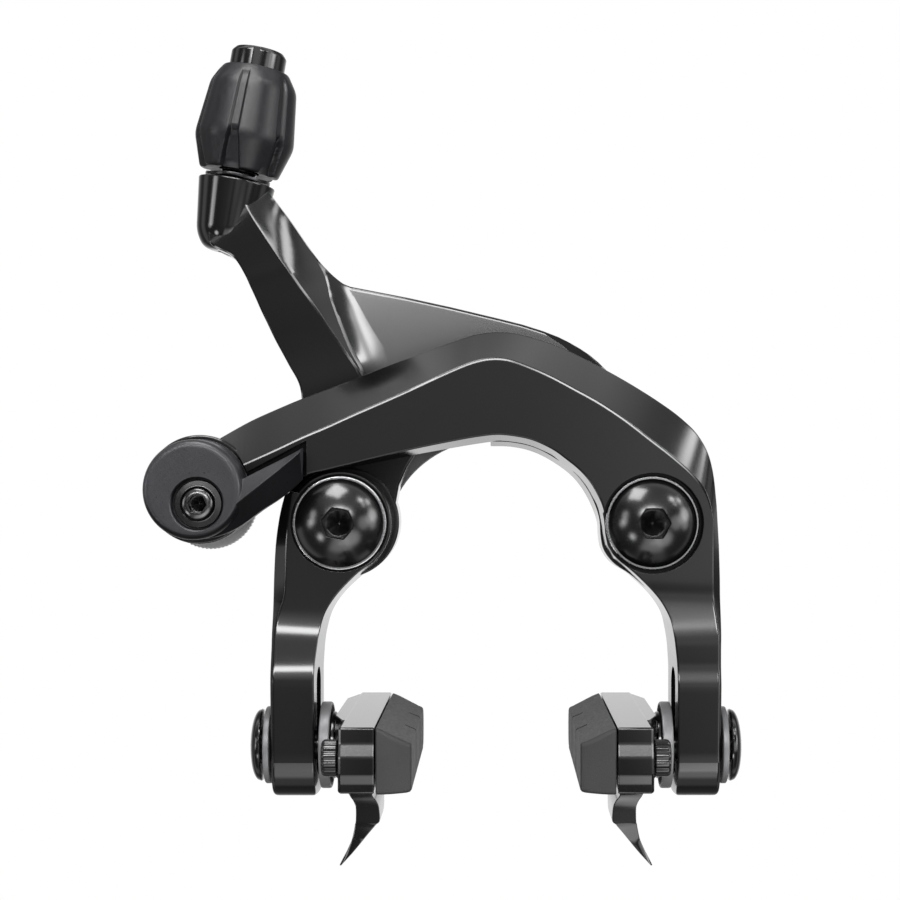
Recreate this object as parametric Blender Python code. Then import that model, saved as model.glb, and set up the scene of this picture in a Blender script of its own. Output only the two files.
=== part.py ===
"""Direct-mount dual-pivot rim brake caliper.

Working units are millimetres, written out in metres at the end. x runs across the
wheel (right positive), y runs back towards the frame or fork, z is up and is counted
from the line through both mounting bolts. The finished object's origin is on the back
plate's rear face, on the mid-plane, ORIGIN_Z above the bolt line.
The front arm turns on the right bolt and the rear arm on the left one.
"""
import math

import bmesh
import bpy
from mathutils import Matrix, Vector

# ---------------------------------------------------------------- dimensions
ORIGIN_Z = 20.0        # origin's height above the bolt line
BOLT_X = 28.0          # mounting bolts at x = -28 and +28 (56 mm spacing)
LEFT_BOLT = (-BOLT_X, 0)      # (x, z), as for every centre of a y axis below
RIGHT_BOLT = (BOLT_X, 0)
GAP = 0.3              # clearance between neighbouring pieces

HEAD_R = 7.9           # domed bolt head
HEAD_FRONT_Y = -25.2
HEAD_WASHER_R = 8.4
SEAT_R = 9.0           # spot face for the head washer
SEAT_Y = -19.5
SHANK_R = 3.0          # M6
SHANK_BORE_R = SHANK_R + GAP
SLEEVE_R = 4.9
BUSH_R = 6.2

PLATE_Y = -1.5         # front of the back plate, its rear face is at y = 0
FRONT_Y = -22.0        # main face of the front arm
SPLIT_Y = -12.5        # back of the front arm's arch, the rear arm runs just behind it
REAR_Y = -3.3          # back of both arms' bosses

RELEASE_C = (-53.2, 6.0)      # cam centre of the quick release
ANCHOR_C = (-52.3, 3.5)       # cable anchor bolt, eccentric in the cam
RELEASE_R = 8.84
RELEASE_FRONT_Y = -28.3
CAM_R = 6.3
CAM_BORE_R = CAM_R + GAP
ANCHOR_R = 2.5
ANCHOR_BORE_R = ANCHOR_R + GAP

ROLLER_C = (0.0, 24.0)        # link roller between the arms
ROLLER_R = 3.4
ROLLER_PIN_R = 1.5
ROLLER_BORE_R = ROLLER_PIN_R + GAP

CENTRING_X, CENTRING_Y = -2.5, -6.4     # upright axis of the centring screw
CENTRING_R = 1.5

STOP_LOW = Vector((-50.2, -8.0, 50.4))      # ends of the cable stop's tilted axis
STOP_TOP = Vector((-43.9, -8.0, 86.4))
STOP_DIR = (STOP_TOP - STOP_LOW).normalized()
STOP_R = 6.8
KNOB_T = 14.4          # knob underside, along the stop axis
KNOB_H = 19.3
BARREL_R = 3.3

LEG_MID = 36.75        # middle of each leg, from the mid-plane
PAD_Y = -17.0          # pad bolt axis
PAD_Z = -40.1
PAD_BOLT_R = 2.6
PAD_BORE_R = PAD_BOLT_R + GAP
PAD_LEN = 55.0
PAD_SHIFT = 3.0        # pads sit this far back on their bolt
PAD_FACE = 14.2        # braking face, from the mid-plane

FINISHES = {           # base colour, roughness, metallic
    "black": ((0.012, 0.012, 0.013), 0.22, 0.85),
    "satin": ((0.035, 0.035, 0.038), 0.5, 0.4),
    "knob": ((0.02, 0.02, 0.021), 0.6, 0.0),
    "steel": ((0.55, 0.56, 0.58), 0.3, 1.0),
    "grey": ((0.3, 0.3, 0.31), 0.4, 1.0),
    "brass": ((0.55, 0.4, 0.2), 0.4, 1.0),
    "rubber": ((0.03, 0.03, 0.032), 0.8, 0.0),
}
SHARP_ANGLE = math.radians(32)

for old in list(bpy.data.objects):
    bpy.data.objects.remove(old, do_unlink=True)


# ------------------------------------------------------------- mesh helpers
def new_mesh(verts, faces):
    bm = bmesh.new()
    added = [bm.verts.new(v) for v in verts]
    for face in faces:
        bm.faces.new([added[i] for i in face])
    bmesh.ops.delete(bm, geom=[v for v in bm.verts if not v.link_faces], context='VERTS')
    bmesh.ops.remove_doubles(bm, verts=bm.verts, dist=1e-5)
    bmesh.ops.recalc_face_normals(bm, faces=bm.faces)
    mesh = bpy.data.meshes.new("m")
    bm.to_mesh(mesh)
    bm.free()
    return mesh


def loft(rings):
    """Joins equal-length rings of points; the first and last are capped."""
    n, count = len(rings[0]), len(rings)
    faces = []
    for i in range(count - 1):
        a, b = i * n, (i + 1) * n
        for j in range(n):
            k = (j + 1) % n
            faces.append((a + j, a + k, b + k, b + j))
    faces.append(tuple(range(n)))
    faces.append(tuple(range((count - 1) * n, count * n)))
    return new_mesh([p for ring in rings for p in ring], faces)


def ring_x(x, points):
    return [(x, y, z) for y, z in points]


def ring_y(y, points):
    return [(x, y, z) for x, z in points]


def ring_z(z, points):
    return [(x, y, z) for x, y in points]


def prism_y(points, y0, y1):
    return loft([ring_y(y0, points), ring_y(y1, points)])


def arc(centre, radius_u, radius_v, start, end, steps):
    """Points of an elliptical arc between two angles in degrees, both ends included."""
    points = []
    for i in range(steps + 1):
        a = math.radians(start + (end - start) * i / steps)
        points.append((centre[0] + radius_u * math.cos(a), centre[1] + radius_v * math.sin(a)))
    return points


def turned(profile, base, axis, segments=24, lobe=None):
    """Revolves (radius, height) points about an axis through base.

    A profile that starts and ends at radius 0 is a solid, otherwise it is a
    closed ring. lobe(angle, radius, height) may change the radius."""
    axis = Vector(axis).normalized()
    side = axis.orthogonal().normalized()
    if abs(axis.y) > 0.9:
        side = Vector((1, 0, 0))
    other = axis.cross(side)
    base = Vector(base)
    solid = profile[0][0] < 1e-9 and profile[-1][0] < 1e-9
    verts, faces, rings = [], [], []
    for r, h in profile:
        if r < 1e-9:
            verts.append(base + axis * h)
            rings.append([len(verts) - 1] * segments)
            continue
        ring = []
        for i in range(segments):
            a = 2 * math.pi * i / segments
            reach = lobe(a, r, h) if lobe else r
            verts.append(base + axis * h + (side * math.cos(a) + other * math.sin(a)) * reach)
            ring.append(len(verts) - 1)
        rings.append(ring)
    count = len(rings)
    for k in range(count - 1 if solid else count):
        a, b = rings[k], rings[(k + 1) % count]
        (ra, ha), (rb, hb) = profile[k], profile[(k + 1) % count]
        if abs(ha - hb) < 1e-9 and min(ra, rb) < 1e-9:
            faces.append(b if ra < 1e-9 else a)      # a flat end is one face
            continue
        for i in range(segments):
            j = (i + 1) % segments
            face = [a[i], a[j], b[j], b[i]]
            face = [v for q, v in enumerate(face) if v not in face[:q]]
            if len(face) > 2:
                faces.append(face)
    return new_mesh(verts, faces)


def tube_wall(inner_r, outer_r, length):
    """Profile of a plain ring, for turned()."""
    return [(inner_r, 0), (outer_r, 0), (outer_r, length), (inner_r, length)]


def rod(start, end, r, segments=20, spin=0.0):
    start = Vector(start)
    axis = Vector(end) - start
    mesh = turned([(0, 0), (r, 0), (r, axis.length), (0, axis.length)], start, axis, segments)
    if spin:
        mesh.transform(Matrix.Translation(start) @ Matrix.Rotation(spin, 4, axis)
                       @ Matrix.Translation(-start))
    return mesh


def rod_y(centre, r, y0, y1, segments=24, spin=0.0):
    x, z = centre
    return rod((x, y0, z), (x, y1, z), r, segments, spin)


def washer_y(centre, inner_r, outer_r, y0, y1, segments=24):
    base = (centre[0], y0, centre[1])
    return turned(tube_wall(inner_r, outer_r, y1 - y0), base, (0, 1, 0), segments)


def hex_corner_r(flat_r):
    """Corner radius of a hexagon from half its width across flats."""
    return flat_r / math.cos(math.radians(30))


def sweep(points, r, segments=5):
    """A round wire along a path."""
    points = [Vector(p) for p in points]
    rings = []
    back = Vector((0, 1, 0))
    for i, p in enumerate(points):
        along = (points[min(i + 1, len(points) - 1)] - points[max(i - 1, 0)]).normalized()
        u = (back - along * back.dot(along)).normalized()
        v = along.cross(u)
        angles = [2 * math.pi * k / segments for k in range(segments)]
        rings.append([tuple(p + (u * math.cos(a) + v * math.sin(a)) * r) for a in angles])
    return loft(rings)


def flatten(mesh):
    """Splits warped faces into triangles, so that every face is flat."""
    bm = bmesh.new()
    bm.from_mesh(mesh)
    warped = []
    for face in bm.faces:
        if len(face.verts) > 3:
            c = face.calc_center_median()
            if max(abs((v.co - c).dot(face.normal)) for v in face.verts) > 1e-5:
                warped.append(face)
    bmesh.ops.triangulate(bm, faces=warped)
    bm.to_mesh(mesh)
    bm.free()


def combine(base, *steps):
    """Runs exact booleans in order; each step is ("+" or "-", mesh)."""
    for mesh in [base] + [tool for _, tool in steps]:
        flatten(mesh)
    for sign, mesh in steps:
        work = bpy.data.objects.new("work", base)
        tool = bpy.data.objects.new("tool", mesh)
        for helper in (work, tool):
            bpy.context.scene.collection.objects.link(helper)
        tool.hide_render = True
        cut = work.modifiers.new("cut", 'BOOLEAN')
        cut.operation = 'UNION' if sign == "+" else 'DIFFERENCE'
        cut.solver = 'EXACT'
        cut.object = tool
        depsgraph = bpy.context.evaluated_depsgraph_get()
        base = bpy.data.meshes.new_from_object(work.evaluated_get(depsgraph))
        for helper in (work, tool):
            bpy.data.objects.remove(helper, do_unlink=True)
        bm = bmesh.new()
        bm.from_mesh(base)
        bmesh.ops.remove_doubles(bm, verts=bm.verts, dist=1e-4)
        bm.to_mesh(base)
        bm.free()
    return base


def mirrored(mesh):
    """The same piece on the other side of the mid-plane."""
    out = mesh.copy()
    out.transform(Matrix.Diagonal((-1, 1, 1, 1)))
    bm = bmesh.new()
    bm.from_mesh(out)
    bmesh.ops.recalc_face_normals(bm, faces=bm.faces)
    bm.to_mesh(out)
    bm.free()
    return out


# ------------------------------------------------- materials, pivots, pieces
MATERIALS = {}
PIVOTS = {}            # name: (empty, its place in metres)


def material(name):
    if name not in MATERIALS:
        colour, roughness, metallic = FINISHES[name]
        mat = bpy.data.materials.new(name)
        mat.use_nodes = True
        shader = mat.node_tree.nodes["Principled BSDF"]
        shader.inputs["Base Color"].default_value = (*colour, 1)
        shader.inputs["Roughness"].default_value = roughness
        shader.inputs["Metallic"].default_value = metallic
        mat.diffuse_color = (*colour, 1)
        MATERIALS[name] = mat
    return MATERIALS[name]


def pivot(name, point, parent=None):
    empty = bpy.data.objects.new(name, None)
    bpy.context.scene.collection.objects.link(empty)
    place = Vector((point[0], point[1], point[2] - ORIGIN_Z)) * 0.001
    empty.location = place
    if parent:
        parent_empty, parent_place = PIVOTS[parent]
        empty.parent = parent_empty
        empty.location = place - parent_place
    PIVOTS[name] = (empty, place)


def node(name, mesh, finish, body):
    """Turns a millimetre mesh into the finished object, in metres, under its body's pivot."""
    mesh = mesh.copy()
    empty, place = PIVOTS[body]
    mesh.transform(Matrix.Translation(-place) @ Matrix.Scale(0.001, 4)
                   @ Matrix.Translation((0, 0, -ORIGIN_Z)))
    ob = bpy.data.objects.new(name, mesh)
    mesh.materials.clear()
    mesh.materials.append(material(finish))
    bpy.context.scene.collection.objects.link(ob)
    ob.parent = empty
    mesh.shade_smooth()
    mesh.set_sharp_from_angle(angle=SHARP_ANGLE)


def stop_point(t):
    """A point on the cable stop's tilted axis, t mm above the stop's low end."""
    return STOP_LOW + STOP_DIR * t


pivot("root_body", (0, 0, 0))
pivot("front_arm_pivot", (BOLT_X, SEAT_Y, 0))
pivot("rear_arm_pivot", (-BOLT_X, SEAT_Y, 0))
pivot("link_roller_pivot", (ROLLER_C[0], -9.8, ROLLER_C[1]), "front_arm_pivot")
pivot("release_pivot", (RELEASE_C[0], SEAT_Y, RELEASE_C[1]), "front_arm_pivot")
pivot("adjuster_knob_pivot", stop_point(KNOB_T), "rear_arm_pivot")
pivot("adjuster_barrel_pivot", stop_point(KNOB_T + KNOB_H), "rear_arm_pivot")
for side, sign, arm in (("left", -1, "rear_arm_pivot"), ("right", 1, "front_arm_pivot")):
    pivot(side + "_carrier_pivot", (sign * LEG_MID, PAD_Y, PAD_Z), arm)
    pivot(side + "_pad_pivot", (sign * LEG_MID, PAD_Y, PAD_Z), side + "_carrier_pivot")


# ------------------------------------------------- fixed pieces on the frame
def back_plate():
    """A flat arch with a round eye at each bolt."""
    lower_edge = arc((0, -3), 20.5, 18.5, 0, 180, 12)
    upper_edge = arc((0, -2), 30.5, 26.6, 180, 0, 12)
    return combine(
        prism_y(lower_edge + upper_edge, PLATE_Y, 0),
        ("+", rod_y(LEFT_BOLT, 8.0, PLATE_Y, 0, 28)),
        ("+", rod_y(RIGHT_BOLT, 8.0, PLATE_Y, 0, 28)),
        ("-", rod_y(LEFT_BOLT, SHANK_BORE_R, -3, 2)),
        ("-", rod_y(RIGHT_BOLT, SHANK_BORE_R, -3, 2)),
    )


def mounting_bolt(centre, spin):
    """Domed bolt with a hex socket turned by spin; heights count back from HEAD_FRONT_Y."""
    dome_r, crown_r, dome_h, length, under_head = 7.75, 3.9, 3.4, 37.0, 4.6
    profile = [(0, length), (2.4, length), (SHANK_R, 36.4), (SHANK_R, under_head),
               (HEAD_R - 0.3, under_head), (HEAD_R, 4.2), (dome_r, dome_h)]
    for i in range(1, 4):
        r = dome_r - (dome_r - crown_r) * i / 3
        profile.append((r, dome_h * (r / dome_r) ** 2.4))
    profile.append((0, 0.35))
    return combine(
        turned(profile, (centre[0], HEAD_FRONT_Y, centre[1]), (0, 1, 0), 28),
        ("-", rod_y(centre, hex_corner_r(2.5), -27, -21.6, 6, spin)),
    )


def return_spring():
    """A coil in the back of the rear arm's boss, its front end turned slightly outward."""
    turns, coil_r, end_r, wire_r = 3.25, 7.2, 8.35, 0.65
    front_y, length = -8.1, 4.9
    start = math.radians(200)
    steps = int(turns * 14)
    path = [(-BOLT_X + end_r * math.cos(start + 0.1), front_y, end_r * math.sin(start + 0.1))]
    for i in range(steps + 1):
        a = start - 2 * math.pi * turns * i / steps
        path.append((-BOLT_X + coil_r * math.cos(a), front_y + length * i / steps,
                     coil_r * math.sin(a)))
    return sweep(path, wire_r)


node("back_plate", back_plate(), "steel", "root_body")
for side, centre, spin in (("left", LEFT_BOLT, 0.35), ("right", RIGHT_BOLT, 0.0)):
    node(side + "_mounting_bolt", mounting_bolt(centre, spin), "black", "root_body")
    node(side + "_head_washer",
         washer_y(centre, SHANK_BORE_R, HEAD_WASHER_R, -20.4, SEAT_Y - GAP, 28),
         "steel", "root_body")
    node(side + "_pivot_sleeve", washer_y(centre, SHANK_BORE_R, SLEEVE_R, SEAT_Y, PLATE_Y - GAP),
         "steel", "root_body")
node("right_rear_spacer", washer_y(RIGHT_BOLT, SLEEVE_R + GAP, 8.3, -2.95, PLATE_Y - GAP),
     "grey", "root_body")
node("return_spring", return_spring(), "steel", "root_body")


# ------------------------------------------------------------------- legs
LEG = [
    # z outer, z ridge, z inner; x outer, x ridge, x inner, x inner at the back; y front, y back
    (4.0, 1.0, -3.0, 39.7, 38.4, 19.8, 19.2, -22.0, -6.0),
    (-4.0, -5.0, -6.3, 40.0, 38.6, 21.5, 21.0, -22.0, -6.0),
    (-10.0, -11.0, -9.8, 40.2, 38.6, 25.6, 25.0, -22.0, -6.4),
    (-14.5, -15.0, -14.3, 40.2, 38.7, 29.6, 29.0, -22.1, -7.4),
    (-18.5, -18.5, -18.5, 40.1, 39.2, 31.4, 31.0, -22.5, -8.4),
    (-22.0, -22.0, -22.0, 40.0, 39.4, 31.9, 31.5, -23.4, -9.0),
    (-26.0, -26.0, -26.0, 40.0, 39.5, 32.2, 31.8, -24.3, -9.0),
    (-41.5, -41.5, -41.5, 39.9, 39.4, 32.2, 31.8, -24.5, -9.0),
]
LEG_END_Y, LEG_END_Z = -16.75, -41.5       # centre of the rounded lower end
LEG_END_HALF, LEG_END_DROP = 7.75, 7.7     # its half width and depth


def leg_rings(sign):
    """Rings of one leg, top to bottom; sign is +1 for the right side, -1 for the left.

    Each ring: ridge on the front, outer edge, outer back, inner back, inner front."""
    rings = []
    for zo, zr, zi, xo, xr, xi, xi_back, y_front, y_back in LEG:
        y_edge = y_front + (3.0 if zo > -16 else 1.2)
        rings.append([(sign * xr, y_front, zr), (sign * xo, y_edge, zo), (sign * xo, y_back, zo),
                      (sign * xi_back, y_back, zi), (sign * xi, y_front, zi)])
    _, _, _, xo, xr, xi, xi_back, _, _ = LEG[-1]
    for i in range(1, 6):
        a = math.radians(15 * i)
        z = LEG_END_Z - LEG_END_DROP * math.sin(a)
        half = LEG_END_HALF * math.cos(a)
        y_front, y_back = LEG_END_Y - half, LEG_END_Y + half
        rings.append([(sign * xr, y_front, z), (sign * xo, LEG_END_Y - half * 0.85, z),
                      (sign * xo, y_back, z), (sign * xi_back, y_back, z),
                      (sign * xi, y_front, z)])
    return rings


def leg_slot(sign):
    """Upright slot for the pad bolt, through the leg from side to side."""
    r, top_z, bottom_z = 3.1, -29.1, -42.3
    points = arc((PAD_Y, top_z), r, r, 0, 180, 8) + arc((PAD_Y, bottom_z), r, r, 180, 360, 8)
    return loft([ring_x(sign * 28, points), ring_x(sign * 44, points)])


def bush(centre, y0, y1):
    return washer_y(centre, SLEEVE_R + GAP, BUSH_R, y0, y1)


# --------------------------------------------------------------- front arm
ARCH = [
    # outer x, z; ridge x, z; inner x, z; from the release across to the right bolt
    (-50.5, 15.0, -50.2, 8.0, -49.2, -2.2),
    (-44.6, 18.3, -44.3, 10.7, -44.5, 2.0),
    (-35.5, 22.3, -34.9, 15.0, -34.4, 8.3),
    (-26.5, 25.7, -26.0, 18.9, -25.9, 10.4),
    (-17.4, 29.3, -17.1, 22.8, -17.1, 12.6),
    (-8.3, 32.6, -8.2, 26.9, -8.2, 14.5),
    (-3.8, 34.1, -3.7, 28.7, -2.8, 15.5),
    (-0.2, 34.5, -0.4, 29.2, 0.5, 15.7),
    (3.4, 34.3, 2.5, 28.9, 3.8, 15.3),
    (8.0, 33.1, 6.1, 27.6, 7.0, 14.5),
    (11.6, 31.7, 9.6, 26.0, 10.0, 13.0),
    (20.7, 27.2, 18.5, 21.2, 14.5, 9.8),
    (29.7, 21.7, 27.4, 14.8, 17.6, 6.0),
    (36.0, 16.6, 34.0, 9.6, 19.2, 2.5),
    (38.8, 11.7, 37.6, 5.6, 19.5, 0.0),
]
# (x, z) outline of the block behind the right end of the arch
REAR_BLOCK = [
    (-1.0, 14.2), (2.6, 14.1), (6.3, 13.4), (10.1, 11.6), (14.7, 8.3), (17.7, 4.1), (19.1, 0.2),
    (19.2, -2.6), (21.0, -6.9), (25.0, -10.0), (28.9, -13.8), (34.0, -14.0), (39.4, -8.0),
    (39.2, 3.0), (38.0, 10.0), (34.0, 16.4), (29.0, 19.6), (24.5, 21.0), (20.0, 20.6),
    (12.0, 20.4), (6.0, 19.6), (-1.0, 19.4),
]
# (x, z) outline of the recess in the arm's face behind the release lever
LEVER_RECESS = [
    (-52.0, 5.0), (-47.0, 7.9), (-44.3, 9.3), (-33.9, 14.6), (-34.1, 7.0), (-38.0, -2.0),
    (-52.0, -9.0),
]


def arch_rings():
    """Rings of the arch; the bevel's edge comes forward towards the right leg."""
    rings = []
    for xo, zo, xr, zr, xi, zi in ARCH:
        y_edge = -16.0
        if xo > 30:
            y_edge -= 3.0 * (xo - 30) / 9
        rings.append([(xr, FRONT_Y, zr), (xo, y_edge, zo), (xo, SPLIT_Y, zo),
                      (xi, SPLIT_Y, zi), (xi, FRONT_Y, zi)])
    return rings


def front_arm():
    return combine(
        loft(arch_rings() + leg_rings(1)),
        ("+", prism_y(REAR_BLOCK, -13.2, -6.0)),
        ("+", rod_y(RIGHT_BOLT, 8.9, -14.0, REAR_Y, 32)),
        ("+", rod_y(RELEASE_C, 9.8, SEAT_Y, SPLIT_Y + 0.2, 36)),
        ("-", prism_y(LEVER_RECESS, -30, SEAT_Y)),
        ("-", rod_y(RELEASE_C, 9.25, -30, SEAT_Y, 36)),
        ("-", rod_y(RELEASE_C, CAM_BORE_R, -22, -10, 32)),
        ("-", rod_y(RIGHT_BOLT, SEAT_R, -30, SEAT_Y, 36)),
        ("-", rod_y(RIGHT_BOLT, BUSH_R + GAP, -22, 0, 32)),
        ("-", rod_y(ROLLER_C, ROLLER_BORE_R, -18.3, -10, 20)),
        ("-", leg_slot(1)),
    )


node("front_arm", front_arm(), "black", "front_arm_pivot")
node("link_roller_pin", rod_y(ROLLER_C, ROLLER_PIN_R, -18.0, -6.9, 20),
     "steel", "front_arm_pivot")
node("link_roller", washer_y(ROLLER_C, ROLLER_BORE_R, ROLLER_R, -12.1, -7.4, 28),
     "steel", "link_roller_pivot")
node("right_front_bush", bush(RIGHT_BOLT, -19.3, -14.8), "brass", "front_arm_pivot")
node("right_rear_bush", bush(RIGHT_BOLT, -8.5, -3.5), "brass", "front_arm_pivot")

# ------------------------------------------------------------ quick release
# (x, z) outlines of the lever's handle: its full width, and its narrower front face
HANDLE = [
    (-58.0, -0.6), (-53.5, -2.7), (-49.1, -2.2), (-44.8, -0.2), (-40.9, 2.6), (-37.6, 4.6),
    (-34.6, 7.4), (-34.3, 13.2), (-40.9, 9.6), (-44.8, 7.7), (-48.5, 6.4), (-52.0, 9.0),
]
HANDLE_FACE = [
    (-58.0, 1.0), (-53.5, 0.0), (-49.3, 0.4), (-44.8, 3.0), (-40.9, 5.8), (-37.6, 8.2),
    (-34.8, 10.4), (-34.6, 12.6), (-40.9, 8.7), (-44.8, 5.8), (-48.5, 4.0), (-52.0, 6.0),
]


def tip_undercut():
    """Sloped cut that thins the handle's tip from behind."""
    return loft([ring_y(y, [(x, -1), (-30, -1), (-30, 18), (x, 18)])
                 for x, y in ((-38.8, -24.2), (-40.8, -20.0))])


def release_lever():
    disc = [(0, 0), (8.3, 0), (RELEASE_R, 0.6), (RELEASE_R, 7.7), (0, 7.7)]
    return combine(
        turned(disc, (RELEASE_C[0], RELEASE_FRONT_Y, RELEASE_C[1]), (0, 1, 0), 36),
        ("+", loft([ring_y(-27.9, HANDLE_FACE), ring_y(-25.8, HANDLE), ring_y(-20.75, HANDLE)])),
        ("-", tip_undercut()),
        ("+", rod_y(RELEASE_C, CAM_R, -21.5, -12.5, 36)),
        ("-", rod_y(ANCHOR_C, 4.7, -30, -26.4, 32)),
        ("-", rod_y(ANCHOR_C, ANCHOR_BORE_R, -30, -10, 24)),
    )


def cable_anchor_bolt():
    profile = [(0, 0.4), (1.8, 0.2), (2.9, 0.9), (3.0, 1.3), (4.1, 1.4), (4.2, 1.9),
               (ANCHOR_R, 1.9), (ANCHOR_R, 22.3), (0, 22.3)]
    return combine(
        turned(profile, (ANCHOR_C[0], RELEASE_FRONT_Y, ANCHOR_C[1]), (0, 1, 0), 28),
        ("-", rod_y(ANCHOR_C, hex_corner_r(1.6), -30, -26.4, 6, 0.2)),
    )


def cable_clamp_washer():
    """A washer with a toothed rim."""
    tip_r, root_r = 8.5, 8.0
    rim = []
    for i in range(40):
        a = 2 * math.pi * i / 40
        r = tip_r if i % 2 else root_r
        rim.append((ANCHOR_C[0] + r * math.cos(a), ANCHOR_C[1] + r * math.sin(a)))
    return combine(prism_y(rim, -12.1, -9.9), ("-", rod_y(ANCHOR_C, ANCHOR_BORE_R, -14, -8, 24)))


def anchor_nut():
    return combine(rod_y(ANCHOR_C, 4.6, -9.6, -6.2, 6),
                   ("-", rod_y(ANCHOR_C, ANCHOR_BORE_R, -12, -4, 24)))


node("release_lever", release_lever(), "satin", "release_pivot")
node("release_friction_washer",
     washer_y(RELEASE_C, CAM_BORE_R, 9.0, -20.45, SEAT_Y - GAP, 28), "grey", "release_pivot")
node("cable_anchor_bolt", cable_anchor_bolt(), "steel", "release_pivot")
node("cable_clamp_washer", cable_clamp_washer(), "steel", "release_pivot")
node("anchor_nut", anchor_nut(), "steel", "release_pivot")

# ----------------------------------------------------------------- rear arm
# (x, z) outline of the flat body, from the left boss up to the cable stop and over the roller
REAR_BODY = [
    (-37.9, -3.0), (-38.0, 4.0), (-37.2, 12.0), (-35.4, 19.0), (-34.9, 22.7), (-37.6, 27.9),
    (-40.0, 32.5), (-42.2, 37.0), (-44.4, 41.6), (-47.5, 48.4), (-49.8, 52.0), (-45.0, 60.2),
    (-41.3, 60.0), (-37.2, 55.0), (-33.9, 50.8), (-31.9, 47.7), (-30.3, 45.4), (-28.6, 44.1),
    (-26.8, 43.5), (-16.3, 41.5), (-8.4, 39.8), (0.7, 37.6), (9.0, 35.2), (13.6, 33.4),
    (17.2, 31.2), (20.0, 28.8), (21.8, 26.9), (23.0, 24.9), (22.4, 23.6), (20.0, 23.2),
    (16.0, 24.4), (12.6, 26.4), (12.2, 30.3), (-5.0, 30.3), (-5.6, 25.0), (-8.2, 20.0),
    (-12.6, 14.8), (-14.9, 12.3), (-16.3, 10.1), (-17.8, 6.7), (-18.5, 3.0), (-18.6, -3.0),
]
# y of each point, and x, z of the top ring, in the order of leg_rings()
LEFT_LEG_TOP_Y = (-20.6, -18.0, -9.4, -9.4, -20.6)
LEFT_LEG_TOP_XZ = [(-37.7, 2.0), (-38.8, 3.0), (-38.8, 3.0), (-19.6, 2.4), (-19.8, 2.0)]


def left_leg():
    """The leg with a shallower top, its front face held back over the first four rings."""
    rings = leg_rings(-1)
    rings[0] = [(x, y, z) for (x, z), y in zip(LEFT_LEG_TOP_XZ, LEFT_LEG_TOP_Y)]
    rings[1] = [(x, y, z) for (x, _, z), y in zip(rings[1], LEFT_LEG_TOP_Y)]
    for i, front_y in ((2, -20.8), (3, -21.2)):
        rings[i] = [(x, max(y, front_y), z) for x, y, z in rings[i]]
    return loft(rings)


def centring_rod(z0, z1, r, segments=20):
    return rod((CENTRING_X, CENTRING_Y, z0), (CENTRING_X, CENTRING_Y, z1), r, segments)


def rear_arm():
    return combine(
        left_leg(),
        ("+", rod_y(LEFT_BOLT, 9.25, -20.4, -9.2, 36)),
        ("+", rod_y(LEFT_BOLT, 10.3, -11.9, REAR_Y, 32)),
        ("+", prism_y(REAR_BODY, SPLIT_Y + GAP, -3.5)),
        ("+", rod(stop_point(0), stop_point(12.6), STOP_R, 36)),
        ("-", rod_y(LEFT_BOLT, 8.75, -30, SEAT_Y, 36)),
        ("-", rod_y(LEFT_BOLT, BUSH_R + GAP, -22, 0, 32)),
        ("-", rod_y(LEFT_BOLT, 9.0, -9.0, 0, 32)),       # pocket for the return spring
        ("-", rod(stop_point(-4), stop_point(16), BARREL_R + GAP, 28)),
        ("-", centring_rod(28, 45, CENTRING_R + GAP)),
        ("-", leg_slot(-1)),
    )


def contact_plate():
    """Its underside curves down to the right with the roller's path, for a 1:1 arm motion."""
    left_x, right_x, top_z, under_z = -4.6, 11.8, 30.0, 27.8
    points = [(left_x, top_z), (left_x, under_z), (0.0, under_z)]
    for x in (2.5, 5.0, 7.5, 10.0, right_x):
        points.append((x, under_z - x * x * 0.0195))
    points.append((right_x, top_z))
    return prism_y(points, -12.1, -5.0)


def centring_screw():
    return combine(centring_rod(30.3, 36.6, CENTRING_R), ("-", centring_rod(34.8, 38, 0.85, 6)))


node("rear_arm", rear_arm(), "black", "rear_arm_pivot")
node("left_front_bush", bush(LEFT_BOLT, -19.3, -15.6), "brass", "rear_arm_pivot")
node("left_rear_bush", bush(LEFT_BOLT, -12.8, -9.3), "brass", "rear_arm_pivot")
node("contact_plate", contact_plate(), "steel", "rear_arm_pivot")
node("centring_screw", centring_screw(), "steel", "rear_arm_pivot")


# ------------------------------------------------------------ barrel adjuster
def knob_lobe(angle, r, h):
    """Six shallow lobes round the knob's grip; the bore and both ends stay round."""
    if r < 6.0 or h > KNOB_H - 2.5 or h < 1.0:
        return r
    return r + 0.3 * math.cos(6 * angle)


def adjuster_knob():
    bore_r, recess_r, recess_floor = 3.8, 5.4, KNOB_H - 5.0
    profile = [(bore_r, 0), (7.0, 0), (7.6, 0.8), (8.7, 6.5), (8.4, 10.5), (8.0, 15.5),
               (7.4, 17.2), (6.2, 18.8), (5.8, KNOB_H), (recess_r, KNOB_H),
               (recess_r, recess_floor), (bore_r, recess_floor)]
    return turned(profile, stop_point(KNOB_T), STOP_DIR, 30, knob_lobe)


def adjuster_barrel():
    """A bored stem with a wider head, notched at the front."""
    bore_r, head_r, head_bottom, head_top, stem_end = 1.2, 5.1, -1.8, 3.7, -30.5
    profile = [(bore_r, stem_end), (BARREL_R, stem_end), (BARREL_R, head_bottom),
               (head_r, head_bottom), (head_r, 3.1), (4.6, head_top), (bore_r, head_top)]
    notch = [(-44.6, 84.0), (-42.2, 84.0), (-42.2, 95.0), (-44.6, 95.0)]
    return combine(turned(profile, stop_point(KNOB_T + KNOB_H), STOP_DIR, 24),
                   ("-", prism_y(notch, -16.0, -12.2)))


node("adjuster_detent_spring", turned(tube_wall(4.2, 6.0, 0.7), stop_point(12.9), STOP_DIR, 28),
     "steel", "rear_arm_pivot")
node("adjuster_knob", adjuster_knob(), "knob", "adjuster_knob_pivot")
node("adjuster_barrel", adjuster_barrel(), "black", "adjuster_barrel_pivot")

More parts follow.
